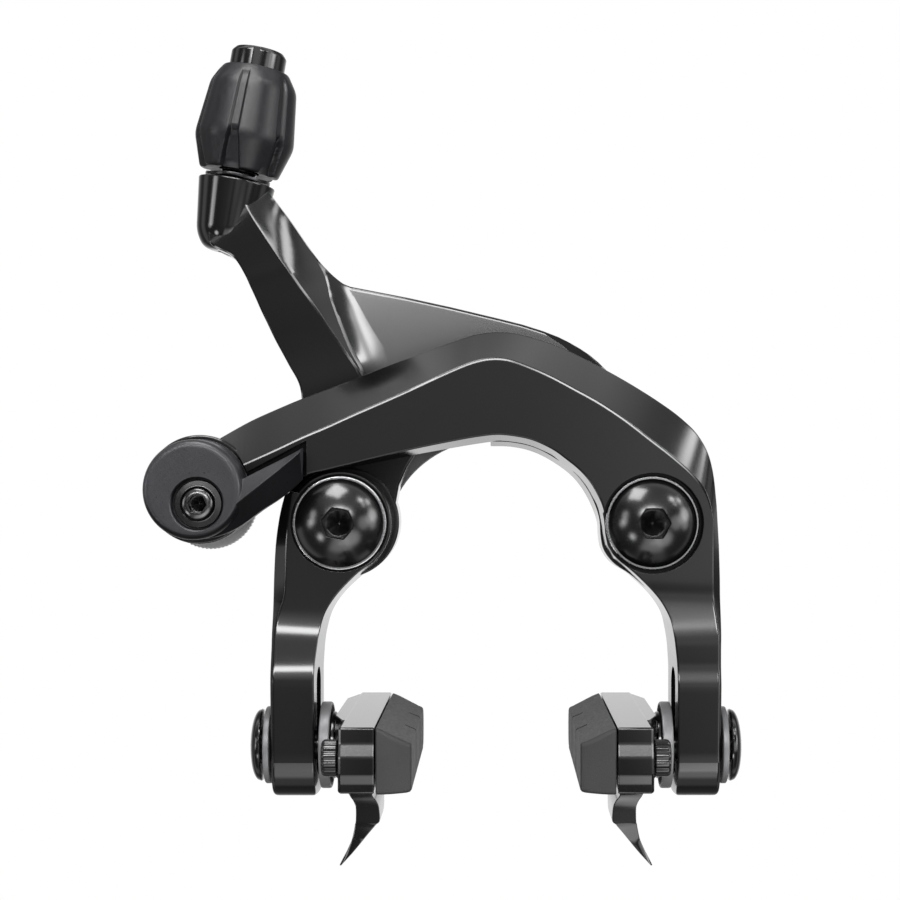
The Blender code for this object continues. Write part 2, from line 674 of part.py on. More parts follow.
# ---------------------------------------------------------------------- pads
# All pieces are drawn for the left side and mirrored for the right.
PAD_Y0 = PAD_Y - PAD_LEN / 2 + PAD_SHIFT
PAD_Y1 = PAD_Y + PAD_LEN / 2 + PAD_SHIFT
PAD_Z0, PAD_Z1 = -45.2, -33.9
SCREW_Y, SCREW_Z = -35.0, -39.8       # retaining screw

# x; inset at both ends, at the bottom and at the top; corner radius
HOLDER_RINGS = [
    (-26.6, 0.8, 0.8, 0.8, 3.2),
    (-25.8, 0.0, 0.0, 0.0, 4.0),
    (-20.5, 0.0, 0.0, 0.0, 4.0),
]
RUBBER_RINGS = [
    (-20.2, 0.3, 0.3, 0.1, 4.0),
    (-16.2, 0.8, 0.3, 1.5, 3.4),
    (-PAD_FACE, 2.0, 1.0, 2.5, 2.6),
]
FIN = [
    # z; front y, outer x, inner x; back y, outer x, inner x
    (-44.0, -40.8, -24.6, -20.7, -22.0, -24.6, -20.7),
    (-45.4, -40.8, -24.2, -20.7, -22.6, -24.2, -20.7),
    (-46.8, -40.8, -23.6, -19.7, -24.0, -23.6, -19.7),
    (-49.3, -40.4, -23.6, -19.7, -28.5, -23.4, -19.9),
    (-54.0, -39.4, -24.9, -23.2, -33.5, -24.9, -23.2),
    (-57.1, -38.6, -26.3, -25.9, -36.8, -26.3, -25.9),
]
# (x, y) outline of the raised hub on the holder's outer side
HUB = [(-26.0, -27.5), (-26.6, -27.3), (-28.4, -24.0), (-28.4, 2.0), (-26.6, 8.5), (-26.0, 8.8)]


def pad_body(rows):
    """Lofts rounded rectangles given as insets from the pad's outline."""
    rings = []
    for x, ends, bottom, top, r in rows:
        y0, y1 = PAD_Y0 + ends + r, PAD_Y1 - ends - r
        z0, z1 = PAD_Z0 + bottom + r, PAD_Z1 - top - r
        points = []
        for i, centre in enumerate(((y1, z1), (y0, z1), (y0, z0), (y1, z0))):
            points += arc(centre, r, r, 90 * i, 90 * i + 90, 3)
        rings.append(ring_x(x, points))
    return loft(rings)


def pad_rod(x0, x1, r, segments):
    return rod((x0, PAD_Y, PAD_Z), (x1, PAD_Y, PAD_Z), r, segments)


def pad_turned(profile, x, segments=24):
    return turned(profile, (x, PAD_Y, PAD_Z), (1, 0, 0), segments)


def pad_holder():
    fin = loft([[(xo, y, z), (xi, y, z), (xi_back, y_back, z), (xo_back, y_back, z)]
                for z, y, xo, xi, y_back, xo_back, xi_back in FIN])
    return combine(
        pad_body(HOLDER_RINGS),
        ("+", loft([ring_z(PAD_Z0 + 0.5, HUB), ring_z(PAD_Z1 - 0.4, HUB)])),
        ("+", pad_rod(-28.4, -24.0, 5.6, 32)),
        ("+", fin),
        ("-", pad_rod(-30, -22.6, PAD_BORE_R, 24)),
        ("-", rod((-30, SCREW_Y, SCREW_Z), (-23.0, SCREW_Y, SCREW_Z), 1.5, 16)),
    )


def pad_bolt():
    """Domed bolt with a hex socket."""
    profile = [(0, 0.35), (2.6, 0.1), (4.6, 0.4), (5.9, 1.0), (6.5, 1.8), (6.2, 2.05),
               (PAD_BOLT_R, 2.05), (PAD_BOLT_R, 19.8), (0, 19.8)]
    return combine(pad_turned(profile, -43.95, 22),
                   ("-", pad_rod(-46, -42.6, hex_corner_r(2.0), 6)))


def inner_washer():
    return pad_turned([(3.4, 0), (7.7, 0), (7.7, 0.8), (5.5, 1.25), (3.4, 1.25)], -31.45)


def retaining_screw():
    profile = [(0, 0.6), (1.6, 0.2), (3.0, 0.2), (3.1, 0.5), (3.1, 2.9), (1.2, 2.9),
               (1.2, 6.0), (0, 6.0)]
    return turned(profile, (-29.9, SCREW_Y, SCREW_Z), (1, 0, 0), 14)


PAD_PIECES = [
    # name, mesh, finish, body it belongs to
    ("outer_washer", pad_turned(tube_wall(3.2, 6.9, 1.1), -41.4), "grey", "carrier"),
    ("inner_washer", inner_washer(), "grey", "carrier"),
    ("pad_bolt", pad_bolt(), "black", "pad"),
    ("convex_washer", pad_turned(tube_wall(PAD_BORE_R, 5.3, 1.1), -29.85), "black", "pad"),
    ("pad_holder", pad_holder(), "black", "pad"),
    ("brake_pad", pad_body(RUBBER_RINGS), "rubber", "pad"),
    ("retaining_screw", retaining_screw(), "black", "pad"),
]
for name, mesh, finish, body in PAD_PIECES:
    node("left_" + name, mesh, finish, "left_%s_pivot" % body)
    node("right_" + name, mirrored(mesh), finish, "right_%s_pivot" % body)
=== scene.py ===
"""Rim brake caliper: shells, finishes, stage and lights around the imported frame.

Shapes are in millimetres. x runs to the right as the camera sees it, y to the back (the front
is -y) and z up from the line through the two mounting bolts. The frame's own origin lies 20 mm
above that line; piece() makes the shift and the change to metres.
"""
import math

import bmesh
import bpy
import numpy as np
from mathutils import Matrix, Vector


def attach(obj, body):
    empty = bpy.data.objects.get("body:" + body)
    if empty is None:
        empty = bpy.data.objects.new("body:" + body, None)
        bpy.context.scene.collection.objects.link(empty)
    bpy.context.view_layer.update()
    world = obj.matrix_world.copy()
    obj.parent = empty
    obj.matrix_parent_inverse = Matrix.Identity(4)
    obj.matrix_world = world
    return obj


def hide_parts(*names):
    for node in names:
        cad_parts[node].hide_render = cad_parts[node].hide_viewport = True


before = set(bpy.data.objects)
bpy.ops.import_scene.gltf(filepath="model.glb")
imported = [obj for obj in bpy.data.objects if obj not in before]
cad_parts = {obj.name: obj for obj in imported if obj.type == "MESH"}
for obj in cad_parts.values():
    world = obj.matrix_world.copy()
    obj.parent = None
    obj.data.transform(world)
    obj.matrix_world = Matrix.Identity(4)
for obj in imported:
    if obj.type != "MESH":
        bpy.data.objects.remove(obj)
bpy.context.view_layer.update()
SCENE = bpy.context.scene

# ====================================================== driving dimensions, mm
ORIGIN_Z = 20.0                  # the frame's origin above the bolt line
BOLT_X = 28.0                    # mounting bolts at -x and +x
SEAT_Y = -19.5                   # floor of the recesses in the arms' front faces
FACE_Y = -22.0                   # front face of the front arm
RELEASE = (-53.2, 6.0)           # x, z of the release lever's axis
ANCHOR = (-52.3, 3.5)            # x, z of the cable anchor
PAD_Y, PAD_Z = -17.0, -40.1      # axis of the pad bolts
STOP_LOW = Vector((-50.2, -8.0, 50.4))      # cable stop axis: lower end and direction
STOP_DIR = (Vector((-43.9, -8.0, 86.4)) - STOP_LOW).normalized()
KNOB_START, KNOB_HEIGHT = 14.4, 19.3        # adjuster knob along the stop axis

X_AXIS, Y_AXIS = (1, 0, 0), (0, 1, 0)


def on_stop_axis(distance):
    return STOP_LOW + STOP_DIR * distance


# ================================================================= mesh tools
def mesh_from(verts, faces):
    bm = bmesh.new()
    corners = [bm.verts.new(v) for v in verts]
    for face in faces:
        bm.faces.new([corners[i] for i in face])
    bmesh.ops.remove_doubles(bm, verts=bm.verts, dist=1e-4)
    bmesh.ops.recalc_face_normals(bm, faces=bm.faces)
    mesh = bpy.data.meshes.new("m")
    bm.to_mesh(mesh)
    bm.free()
    return mesh


def loft(sections):
    """Skins a row of rings with equal point counts and caps both ends."""
    n, count = len(sections[0]), len(sections)
    verts = [tuple(p) for section in sections for p in section]
    faces = []
    for a in range(0, (count - 1) * n, n):
        for j in range(n):
            k = (j + 1) % n
            faces.append((a + j, a + k, a + n + k, a + n + j))
    faces.append(tuple(range(n)))
    faces.append(tuple(range((count - 1) * n, count * n)))
    return mesh_from(verts, faces)


def prism_y(outline, y0, y1):
    return loft([[(x, y, z) for x, z in outline] for y in (y0, y1)])


def soften(before, corner, after, radius, seg):
    """The points of a small curve that stands for a corner."""
    if radius <= 0:
        return [tuple(corner)]
    back, ahead = before - corner, after - corner
    start = corner + back.normalized() * min(radius, back.length * 0.46)
    end = corner + ahead.normalized() * min(radius, ahead.length * 0.46)
    steps = [k / seg for k in range(seg + 1)]
    return [tuple(start * (1 - t) ** 2 + corner * (2 * t * (1 - t)) + end * t * t) for t in steps]


def rounded(points, radii, seg=3):
    """A closed ring with softened corners; radii is one number or one per point."""
    points = [Vector(p) for p in points]
    n = len(points)
    if not isinstance(radii, list):
        radii = [radii] * n
    ring = []
    for i in range(n):
        ring += soften(points[i - 1], points[i], points[(i + 1) % n], radii[i], seg)
    return ring


def fillet_profile(points, seg=4):
    """An open profile of (radius, height[, corner rounding]) with its corners softened."""
    flat = [Vector((p[0], p[1], 0)) for p in points]
    out = [tuple(flat[0][:2])]
    for i in range(1, len(flat) - 1):
        radius = points[i][2] if len(points[i]) > 2 else 0
        out += [p[:2] for p in soften(flat[i - 1], flat[i], flat[i + 1], radius, seg)]
    out.append(tuple(flat[-1][:2]))
    return out


def spline(stations, per=6):
    """Centripetal Catmull-Rom through rows of numbers; the first three columns set the pace."""
    rows = np.array(stations, float)
    pace = np.maximum(np.linalg.norm(np.diff(rows[:, :3], axis=0), axis=1), 1e-3) ** 0.5
    pace = np.concatenate([pace[:1], pace, pace[-1:]])
    knots = np.vstack([2 * rows[0] - rows[1], rows, 2 * rows[-1] - rows[-2]])
    out = []
    for i in range(len(rows) - 1):
        times = np.cumsum([0.0, *pace[i:i + 3]])
        for k in range(per):
            t = times[1] + (times[2] - times[1]) * k / per

            def blend(values, first, last):
                t0, t1 = times[first], times[last]
                return (t1 - t) / (t1 - t0) * values[0] + (t - t0) / (t1 - t0) * values[1]

            lines = [blend(knots[i + j:i + j + 2], j, j + 1) for j in range(3)]
            curves = [blend(lines[j:j + 2], j, j + 2) for j in range(2)]
            out.append(blend(curves, 1, 2))
    out.append(rows[-1])
    return np.array(out)


def turned(profile, base, axis, n=96, shape=None):
    """Revolves (radius, height) points about an axis; a profile off the axis closes on itself.

    shape(angle, radius, height) may move each point.
    """
    axis = Vector(axis).normalized()
    side = Vector(Y_AXIS if abs(axis.x) > 0.9 else X_AXIS)
    side = (side - axis * side.dot(axis)).normalized()
    other = axis.cross(side)
    base = Vector(base)
    verts, rings, faces = [], [], []
    for r, h in profile:
        if r < 1e-9:
            verts.append(base + axis * h)
            rings.append([len(verts) - 1] * n)
            continue
        rings.append(list(range(len(verts), len(verts) + n)))
        for i in range(n):
            a = 2 * math.pi * i / n
            radius, height = shape(a, r, h) if shape else (r, h)
            spoke = side * math.cos(a) + other * math.sin(a)
            verts.append(base + axis * height + spoke * radius)
    for near, far in zip(rings, rings[1:] + rings[:1]):
        for i in range(n):
            j = (i + 1) % n
            face = list(dict.fromkeys((near[i], near[j], far[j], far[i])))
            if len(face) > 2:
                faces.append(face)
    return mesh_from(verts, faces)


def rod(start, end, radius, n=48, spin=0.0):
    axis = Vector(end) - Vector(start)
    length = axis.length
    mesh = turned([(0, 0), (radius, 0), (radius, length), (0, length)], start, axis, n)
    if spin:
        mesh.transform(Matrix.Translation(Vector(start)) @ Matrix.Rotation(spin, 4, axis)
                       @ Matrix.Translation(-Vector(start)))
    return mesh


def rod_y(centre, radius, y0, y1, n=64, spin=0.0):
    """A rod along y; centre is (x, z)."""
    return rod((centre[0], y0, centre[1]), (centre[0], y1, centre[1]), radius, n, spin)


def disc_y(centre, y, radius, height, front_edge, back_edge, n=120):
    """A disc along y with rounded rims; centre is (x, z)."""
    profile = [(0, 0), (radius, 0, front_edge), (radius, height, back_edge), (0, height)]
    return turned(fillet_profile(profile), (centre[0], y, centre[1]), Y_AXIS, n)


def washer(r0, r1, height, base, axis, edge=0.12, n=96, seg=3, shape=None):
    """A washer with rounded edges."""
    edge = min(edge, height * 0.45, (r1 - r0) * 0.45)
    ring = rounded([(r0, 0, 0), (r1, 0, 0), (r1, height, 0), (r0, height, 0)], edge, seg)
    return turned([p[:2] for p in ring], base, axis, n, shape)


def hex_radius(half_width):
    """Corner radius of a hexagon from half its width across flats."""
    return half_width / math.cos(math.radians(30))


def thread(crest, root, start, stop, pitch, offsets):
    """Profile points of a thread and the height where it ends; pitch carries the direction."""
    points, h = [], start
    while (stop - h) * pitch > 0:
        points += [(crest, h), (crest, h + offsets[0]), (root, h + offsets[1]),
                   (root, h + offsets[2])]
        h += pitch
    return points, h


def inset(outline, distance):
    """Moves the points of a flat outline inwards."""
    points = [Vector((p[0], p[1], 0)) for p in outline]
    n = len(points)
    area = sum(points[i].x * points[(i + 1) % n].y - points[(i + 1) % n].x * points[i].y
               for i in range(n))
    sign = 1 if area > 0 else -1
    out = []
    for i, p in enumerate(points):
        edge_in = (p - points[i - 1]).normalized()
        edge_out = (points[(i + 1) % n] - p).normalized()
        normal_in = Vector((-edge_in.y, edge_in.x, 0)) * sign
        normal_out = Vector((-edge_out.y, edge_out.x, 0)) * sign
        middle = (normal_in + normal_out).normalized()
        q = p + middle * (distance / max(0.35, middle.dot(normal_in)))
        out.append((q.x, q.y))
    return out


def plate_y(outline, y0, y1, edge=0.4, seg=3, front=None, lip=0.0):
    """An (x, z) outline extruded along y with rounded edges; front(z) may lean the front face."""
    turns = [math.pi / 2 * k / seg for k in range(seg + 1)]
    rings = [(edge + lip, y0)] if lip else []
    rings += [(edge * (1 - math.sin(a)), y0 + lip * 0.07 + edge * (1 - math.cos(a)))
              for a in turns]
    front_count = len(rings)
    rings += [(edge * (1 - math.cos(a)), y1 - edge * (1 - math.sin(a))) for a in turns]
    sections = []
    for i, (distance, y) in enumerate(rings):
        leans = front and i < front_count
        sections.append([(x, y + (front(z) if leans else 0), z)
                         for x, z in inset(outline, distance)])
    return loft(sections)


def flatten(mesh):
    """Cuts warped faces into triangles so that the booleans see flat ones."""
    bm = bmesh.new()
    bm.from_mesh(mesh)
    warped = []
    for face in bm.faces:
        if len(face.verts) > 3:
            centre = face.calc_center_median()
            if max(abs((v.co - centre).dot(face.normal)) for v in face.verts) > 2e-5:
                warped.append(face)
    bmesh.ops.triangulate(bm, faces=warped)
    bm.to_mesh(mesh)
    bm.free()


def new_object(name, mesh):
    ob = bpy.data.objects.new(name, mesh)
    SCENE.collection.objects.link(ob)
    return ob


def evaluated_mesh(ob):
    graph = bpy.context.evaluated_depsgraph_get()
    return bpy.data.meshes.new_from_object(ob.evaluated_get(graph))


def combine(base, *steps):
    """Adds ("+", mesh) or cuts ("-", mesh) in turn."""
    for mesh in [base] + [tool for _, tool in steps]:
        flatten(mesh)
    for sign, mesh in steps:
        work, tool = new_object("work", base), new_object("tool", mesh)
        cut = work.modifiers.new("cut", 'BOOLEAN')
        cut.operation = 'UNION' if sign == "+" else 'DIFFERENCE'
        cut.solver = 'EXACT'
        cut.object = tool
        base = evaluated_mesh(work)
        for ob in (work, tool):
            bpy.data.objects.remove(ob, do_unlink=True)
        bm = bmesh.new()
        bm.from_mesh(base)
        bmesh.ops.remove_doubles(bm, verts=bm.verts, dist=2e-4)
        bm.to_mesh(base)
        bm.free()
    return base


def mirrored(mesh):
    out = mesh.copy()
    out.transform(Matrix.Diagonal((-1, 1, 1, 1)))
    bm = bmesh.new()
    bm.from_mesh(out)
    bmesh.ops.recalc_face_normals(bm, faces=bm.faces)
    bm.to_mesh(out)
    bm.free()
    return out


def piece(name, mesh, material, body, node, sharp_angle=28):
    """Puts a millimetre mesh into the frame, on its body, standing for a CAD node."""
    mesh = mesh.copy()
    mesh.transform(Matrix.Scale(0.001, 4) @ Matrix.Translation((0, 0, -ORIGIN_Z)))
    mesh.materials.clear()
    mesh.materials.append(material)
    mesh.shade_smooth()
    mesh.set_sharp_from_angle(angle=math.radians(sharp_angle))
    work = new_object("work", mesh)
    normals = work.modifiers.new("normals", 'WEIGHTED_NORMAL')
    normals.keep_sharp = True
    normals.weight = 60
    mesh = evaluated_mesh(work)
    bpy.data.objects.remove(work, do_unlink=True)
    mesh.name = name
    ob = new_object(name, mesh)
    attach(ob, body)
    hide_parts(node)


# ================================================================== materials
class Graph:
    """A cleared node tree with its output node and short calls to fill it."""

    def __init__(self, owner, output_kind):
        owner.use_nodes = True
        self.tree = owner.node_tree
        self.tree.nodes.clear()
        self.output = self.tree.nodes.new(output_kind)

    def add(self, kind, inputs=None, **settings):
        """New node; an input is given a value or linked to a socket. Returns its outputs."""
        node = self.tree.nodes.new(kind)
        for key, value in settings.items():
            setattr(node, key, value)
        for key, value in (inputs or {}).items():
            if isinstance(value, bpy.types.NodeSocket):
                self.tree.links.new(value, node.inputs[key])
            else:
                node.inputs[key].default_value = value
        return node.outputs

    def math(self, operation, *values):
        return self.add("ShaderNodeMath", dict(enumerate(values)), operation=operation)[0]

    def vector(self, operation, *values):
        return self.add("ShaderNodeVectorMath", dict(enumerate(values)), operation=operation)

    def smooth(self, value, low, high, **to):
        """Smooth step of value between low and high, onto to_min..to_max if given."""
        inputs = {"Value": value, "From Min": low, "From Max": high}
        if to:
            inputs.update({"To Min": to["to_min"], "To Max": to["to_max"]})
        return self.add("ShaderNodeMapRange", inputs, interpolation_type='SMOOTHSTEP')[0]

    def finish(self, socket):
        self.tree.links.new(socket, self.output.inputs[0])


def painted_shadow_mask(graph, place, centre, half_axes, strength):
    """1 outside a soft elliptic patch, 1 - strength in its middle: a painted shadow that takes
    sheen away.
    """
    offset = graph.vector('SUBTRACT', place, centre)[0]
    squares = []
    for axis in half_axes:
        length2 = sum(q * q for q in axis)
        along = graph.vector('DOT_PRODUCT', offset, tuple(q / length2 for q in axis))["Value"]
        squares.append(graph.math('MULTIPLY', along, along))
    return graph.smooth(graph.math('ADD', *squares), 0.0, 1.0,
                        to_min=1.0 - strength, to_max=1.0)


def surface(name, colour, rough, metallic=0.0, ior=1.5, specular=0.5, bevel=0.0, tone=0.15,
            tint=(1, 1, 1), grain=2500.0, brushed=None, rough_var=0.2, bump=0.0,
            bump_scale=4000.0, under=1.0, occlusion=0.0, painted_shadow_patch=None):
    """A procedural finish. Lengths are in metres.

    tone: share by which the colour drifts; tint: colour factor of its light end
    grain, brushed: scale of the fine noise, and its stretch along x, y, z
    bevel: radius of the shaded edges; under: share of colour and sheen left on faces turned down,
    a painted shade underneath
    occlusion: share of the sheen taken away in tight places, a painted shade in creases and
    corners; painted_shadow_patch: arguments for painted_shadow_mask, a painted soft shadow
    """
    material = bpy.data.materials.new(name)
    graph = Graph(material, "ShaderNodeOutputMaterial")
    place = graph.add("ShaderNodeTexCoord")["Object"]
    drift = graph.add("ShaderNodeTexNoise", {"Vector": place, "Scale": 140.0, "Detail": 3.0})[0]
    grain_place = place
    if brushed:
        grain_place = graph.add("ShaderNodeMapping", {"Vector": place, "Scale": brushed})[0]
    fine = graph.add("ShaderNodeTexNoise", {"Vector": grain_place, "Scale": grain,
                                            "Detail": 4.0, "Roughness": 0.65})[0]
    noise = graph.math('ADD', drift, graph.math('MULTIPLY', fine, 0.5))
    dark = tuple(c * (1 - tone) for c in colour)
    light = tuple(c * (1 + tone) * t for c, t in zip(colour, tint))
    # the colour mix takes its factor and two colours at inputs 0, 6 and 7
    shade = graph.add("ShaderNodeMix", {0: graph.math('ADD', noise, -0.25), 6: (*dark, 1),
                                        7: (*light, 1)}, data_type='RGBA')[2]
    level = specular
    # Painted shade: faces turned down lose colour and sheen.
    if under < 1.0:
        normal = graph.add("ShaderNodeNewGeometry")["Normal"]
        up = graph.add("ShaderNodeSeparateXYZ", {0: normal})[2]
        keep = graph.smooth(up, -0.34, -0.08, to_min=under, to_max=1.0)
        shade = graph.add("ShaderNodeVectorMath", {0: shade, "Scale": keep},
                          operation='SCALE')[0]
        level = graph.math('MULTIPLY', keep, specular)
    # Painted shade: the sheen drops where ambient occlusion finds nearby surfaces, in creases,
    # corners and contact areas.
    if occlusion > 0:
        openness = graph.add("ShaderNodeAmbientOcclusion", {"Distance": 0.009}, samples=6)["AO"]
        level = graph.smooth(openness, 0.25, 0.85, to_min=specular * (1 - occlusion),
                             to_max=specular)
        # Painted shadow: a soft elliptic patch where the sheen is taken down.
        if painted_shadow_patch:
            level = graph.math('MULTIPLY', level, painted_shadow_mask(graph, place, **painted_shadow_patch))
    roughness = graph.add("ShaderNodeMapRange", {
        "Value": fine, "From Min": 0.3, "From Max": 0.7,
        "To Min": rough * (1 - rough_var), "To Max": rough * (1 + rough_var)})[0]
    inputs = {"Base Color": shade, "Specular IOR Level": level, "Roughness": roughness,
              "Metallic": metallic, "IOR": ior, "Coat Roughness": 0.05}
    relief = {}
    if bevel > 0:
        relief["Normal"] = graph.add("ShaderNodeBevel", {"Radius": bevel}, samples=4)[0]
    if bump > 0:
        height = graph.add("ShaderNodeTexNoise", {"Vector": place, "Scale": bump_scale,
                                                  "Detail": 3.0})[0]
        relief["Normal"] = graph.add("ShaderNodeBump", {
            "Strength": bump, "Distance": 0.00005, "Height": height, **relief})[0]
    graph.finish(graph.add("ShaderNodeBsdfPrincipled", {**inputs, **relief})[0])
    return material


# occlusion paints shade into the arms' creases and contact areas.
ANODISED = dict(colour=(0.0038, 0.0038, 0.0040), rough=0.115, ior=1.62, bevel=0.00014,
                grain=5200.0, tone=0.2, rough_var=0.12, bump=0.02, bump_scale=9000.0,
                occlusion=0.8)
M_ARM = surface("black_anodised", **ANODISED)
# The front arm's copy carries a painted shadow: a soft dark patch on its upper bevel, below the
# strut.
M_FRONT = surface("black_anodised_front_painted_shadow", **ANODISED, painted_shadow_patch=dict(
    centre=(-0.0212, -0.0165, 0.0064),
    half_axes=((0.0062, 0.0, 0.0023), (-0.0009, 0.0, 0.0023)), strength=0.9))
M_GLOSS = surface("gloss_black", colour=(0.0032, 0.0032, 0.0034), rough=0.13, ior=1.65,
                  grain=4000.0, tone=0.2, bevel=0.0001)
M_DOME = surface("bolt_black", colour=(0.003, 0.003, 0.0032), rough=0.2, ior=1.68,
                 grain=4200.0, tone=0.2, rough_var=0.15, bevel=0.0001)
# The lever's faces turned down carry painted shade.
M_LEVER = surface("satin_black", colour=(0.024, 0.0237, 0.0258), rough=0.33, bevel=0.00025,
                  grain=2600.0, tone=0.35, bump=0.4, bump_scale=5200.0,
                  tint=(1.0, 0.98, 1.06), under=0.25)
M_KNOB = surface("knob_plastic", colour=(0.0075, 0.0074, 0.0083), rough=0.36, specular=0.33,
                 grain=1500.0, tone=0.35, bump=0.3, bump_scale=6000.0, tint=(1.0, 0.99, 1.08))
M_RUBBER = surface("pad_rubber", colour=(0.029, 0.029, 0.0302), rough=0.58, ior=1.45,
                   grain=1800.0, tone=0.25, bump=0.5, bump_scale=3800.0)
M_STEEL = surface("bright_steel", colour=(0.60, 0.605, 0.62), rough=0.24, metallic=1.0,
                  tone=0.12)
M_RIM = surface("rim_steel", colour=(0.42, 0.42, 0.43), rough=0.25, metallic=1.0, tone=0.1)
M_WASHER = surface("washer_grey", colour=(0.19, 0.19, 0.195), rough=0.42, metallic=0.35)
M_BRONZE = surface("bush_bronze", colour=(0.45, 0.33, 0.18), rough=0.35, metallic=1.0, tone=0.2)
M_PLATE = surface("plate_steel", colour=(0.16, 0.16, 0.165), rough=0.42, metallic=1.0,
                  grain=900.0, brushed=(0.15, 1.0, 1.0), bevel=0.0002)
M_ANCHOR = surface("anchor_steel", colour=(0.1, 0.1, 0.101), rough=0.22, metallic=1.0,
                   bevel=0.0001)
M_CLAMP = surface("clamp_steel", colour=(0.5, 0.5, 0.505), rough=0.34, metallic=1.0, tone=0.25)
M_DARK = surface("dark_metal", colour=(0.05, 0.05, 0.053), rough=0.28, metallic=1.0, tone=0.2)

# ======================================================================= legs
# Leg stations, x as on the right leg. Columns:
# z outer, ridge, inner, inner back | x outer, ridge, inner, inner back | y front, side, back
LEG = [
    (-4.0, -4.6, -6.3, -7.0, 40.0, 38.7, 21.5, 20.9, -22.0, -19.6, -6.0),
    (-10.0, -10.6, -9.8, -10.2, 40.15, 38.7, 25.6, 25.0, -22.0, -19.8, -6.3),
    (-14.0, -14.3, -13.6, -13.6, 40.15, 38.8, 29.1, 28.5, -22.0, -20.2, -7.2),
    (-17.0, -16.8, -16.9, -16.6, 40.1, 39.15, 30.9, 30.4, -22.15, -21.2, -8.0),
    (-19.6, -19.6, -19.8, -19.4, 40.05, 39.45, 31.55, 31.1, -22.6, -22.0, -8.7),
    (-22.2, -22.2, -22.2, -22.0, 40.0, 39.5, 31.85, 31.5, -23.45, -22.9, -9.0),
    (-24.6, -24.6, -24.6, -24.6, 40.0, 39.5, 32.1, 31.7, -24.25, -23.7, -9.0),
    (-26.6, -26.6, -26.6, -26.6, 40.0, 39.5, 32.2, 31.8, -24.6, -24.1, -9.0),
    (-29.0, -29.0, -29.0, -29.0, 40.0, 39.5, 32.2, 31.8, -24.62, -24.1, -9.0),
    (-36.0, -36.0, -36.0, -36.0, 39.95, 39.45, 32.2, 31.8, -24.5, -24.0, -9.0),
    (-41.5, -41.5, -41.5, -41.5, 39.9, 39.4, 32.2, 31.8, -24.4, -23.9, -9.0),
]
# The left leg has its own upper part and joins LEG at its fifth station.
LEFT_LEG = [
    (4.9, 5.7, 2.0, 2.0, 38.1, 36.6, 19.9, 19.4, -20.5, -18.0, -9.4),
    (2.6, 2.8, 1.0, 1.0, 38.7, 36.9, 19.8, 19.4, -20.5, -18.0, -8.8),
    (0.0, -0.4, -1.0, -1.2, 39.2, 37.3, 19.8, 19.2, -20.5, -18.0, -8.0),
    (-4.0, -4.6, -6.0, -6.6, 39.7, 37.6, 21.3, 20.6, -20.5, -18.0, -7.0),
    (-9.0, -9.5, -9.4, -9.8, 39.95, 37.7, 25.2, 24.6, -20.55, -18.2, -6.6),
    (-13.0, -13.2, -12.9, -13.0, 40.0, 37.9, 28.5, 28.0, -20.6, -18.8, -7.0),
    (-16.0, -15.8, -16.0, -15.9, 40.0, 38.7, 30.5, 30.0, -20.8, -19.7, -7.8),
] + LEG[4:]
LEG_EDGES = [0.35, 0.3, 0.5, 0.4, 0.3]
LEG_BACK_Y = -9.0
TIP_Z = -41.5                    # the rounded tips start here
PROFILE_TOP = -10.0

# Front faces of the legs: (z, forward tilt in degrees)
LEFT_TILT = [
    (-12.5, 0), (-15.7, 4), (-17.1, 8.5), (-18.6, 15.5), (-19.4, 18.0), (-20.2, 21),
    (-21.5, 22), (-23.3, 22), (-24.7, 21), (-25.5, 18.0), (-26.3, 15.0), (-27.5, 6),
    (-29.0, -1.2), (-41.0, -1.0)]
RIGHT_TILT = [
    (-10.0, 0), (-11.0, -3.4), (-12.6, -3.2), (-13.4, 7.5), (-14.4, 11.2), (-15.4, 12.6),
    (-16.5, 13.2), (-17.3, 13.9), (-18.0, 14.4), (-18.7, 14.4), (-19.3, 12.6), (-19.9, 9),
    (-20.6, 4), (-21.6, -1.5), (-24.9, -1.8), (-26.0, 9), (-26.7, 13.5), (-28.0, 13.5),
    (-28.5, 6), (-28.9, -1.5), (-41.0, -1.0)]


def front_profile(y_top, tilts, step=0.1, reach=60):
    """Front surface y(z) from PROFILE_TOP down to -reach, summed up from smoothed tilts."""
    depths = [-(PROFILE_TOP - step * i) for i in range(int((PROFILE_TOP + reach) / step))]
    tilt = np.interp(depths, [-z for z, _ in tilts], [angle for _, angle in tilts])
    window = np.hanning(13)
    padded = np.concatenate([[tilt[0]] * 6, tilt, [tilt[-1]] * 6])
    tilt = np.convolve(padded, window / window.sum(), 'valid')
    ys = [y_top]
    for angle in tilt[:-1]:
        ys.append(ys[-1] - step * math.tan(math.radians(angle)))
    return lambda z: float(np.interp(-z, depths, ys))


left_front = front_profile(-20.55, LEFT_TILT)
right_front = front_profile(FACE_Y, RIGHT_TILT)


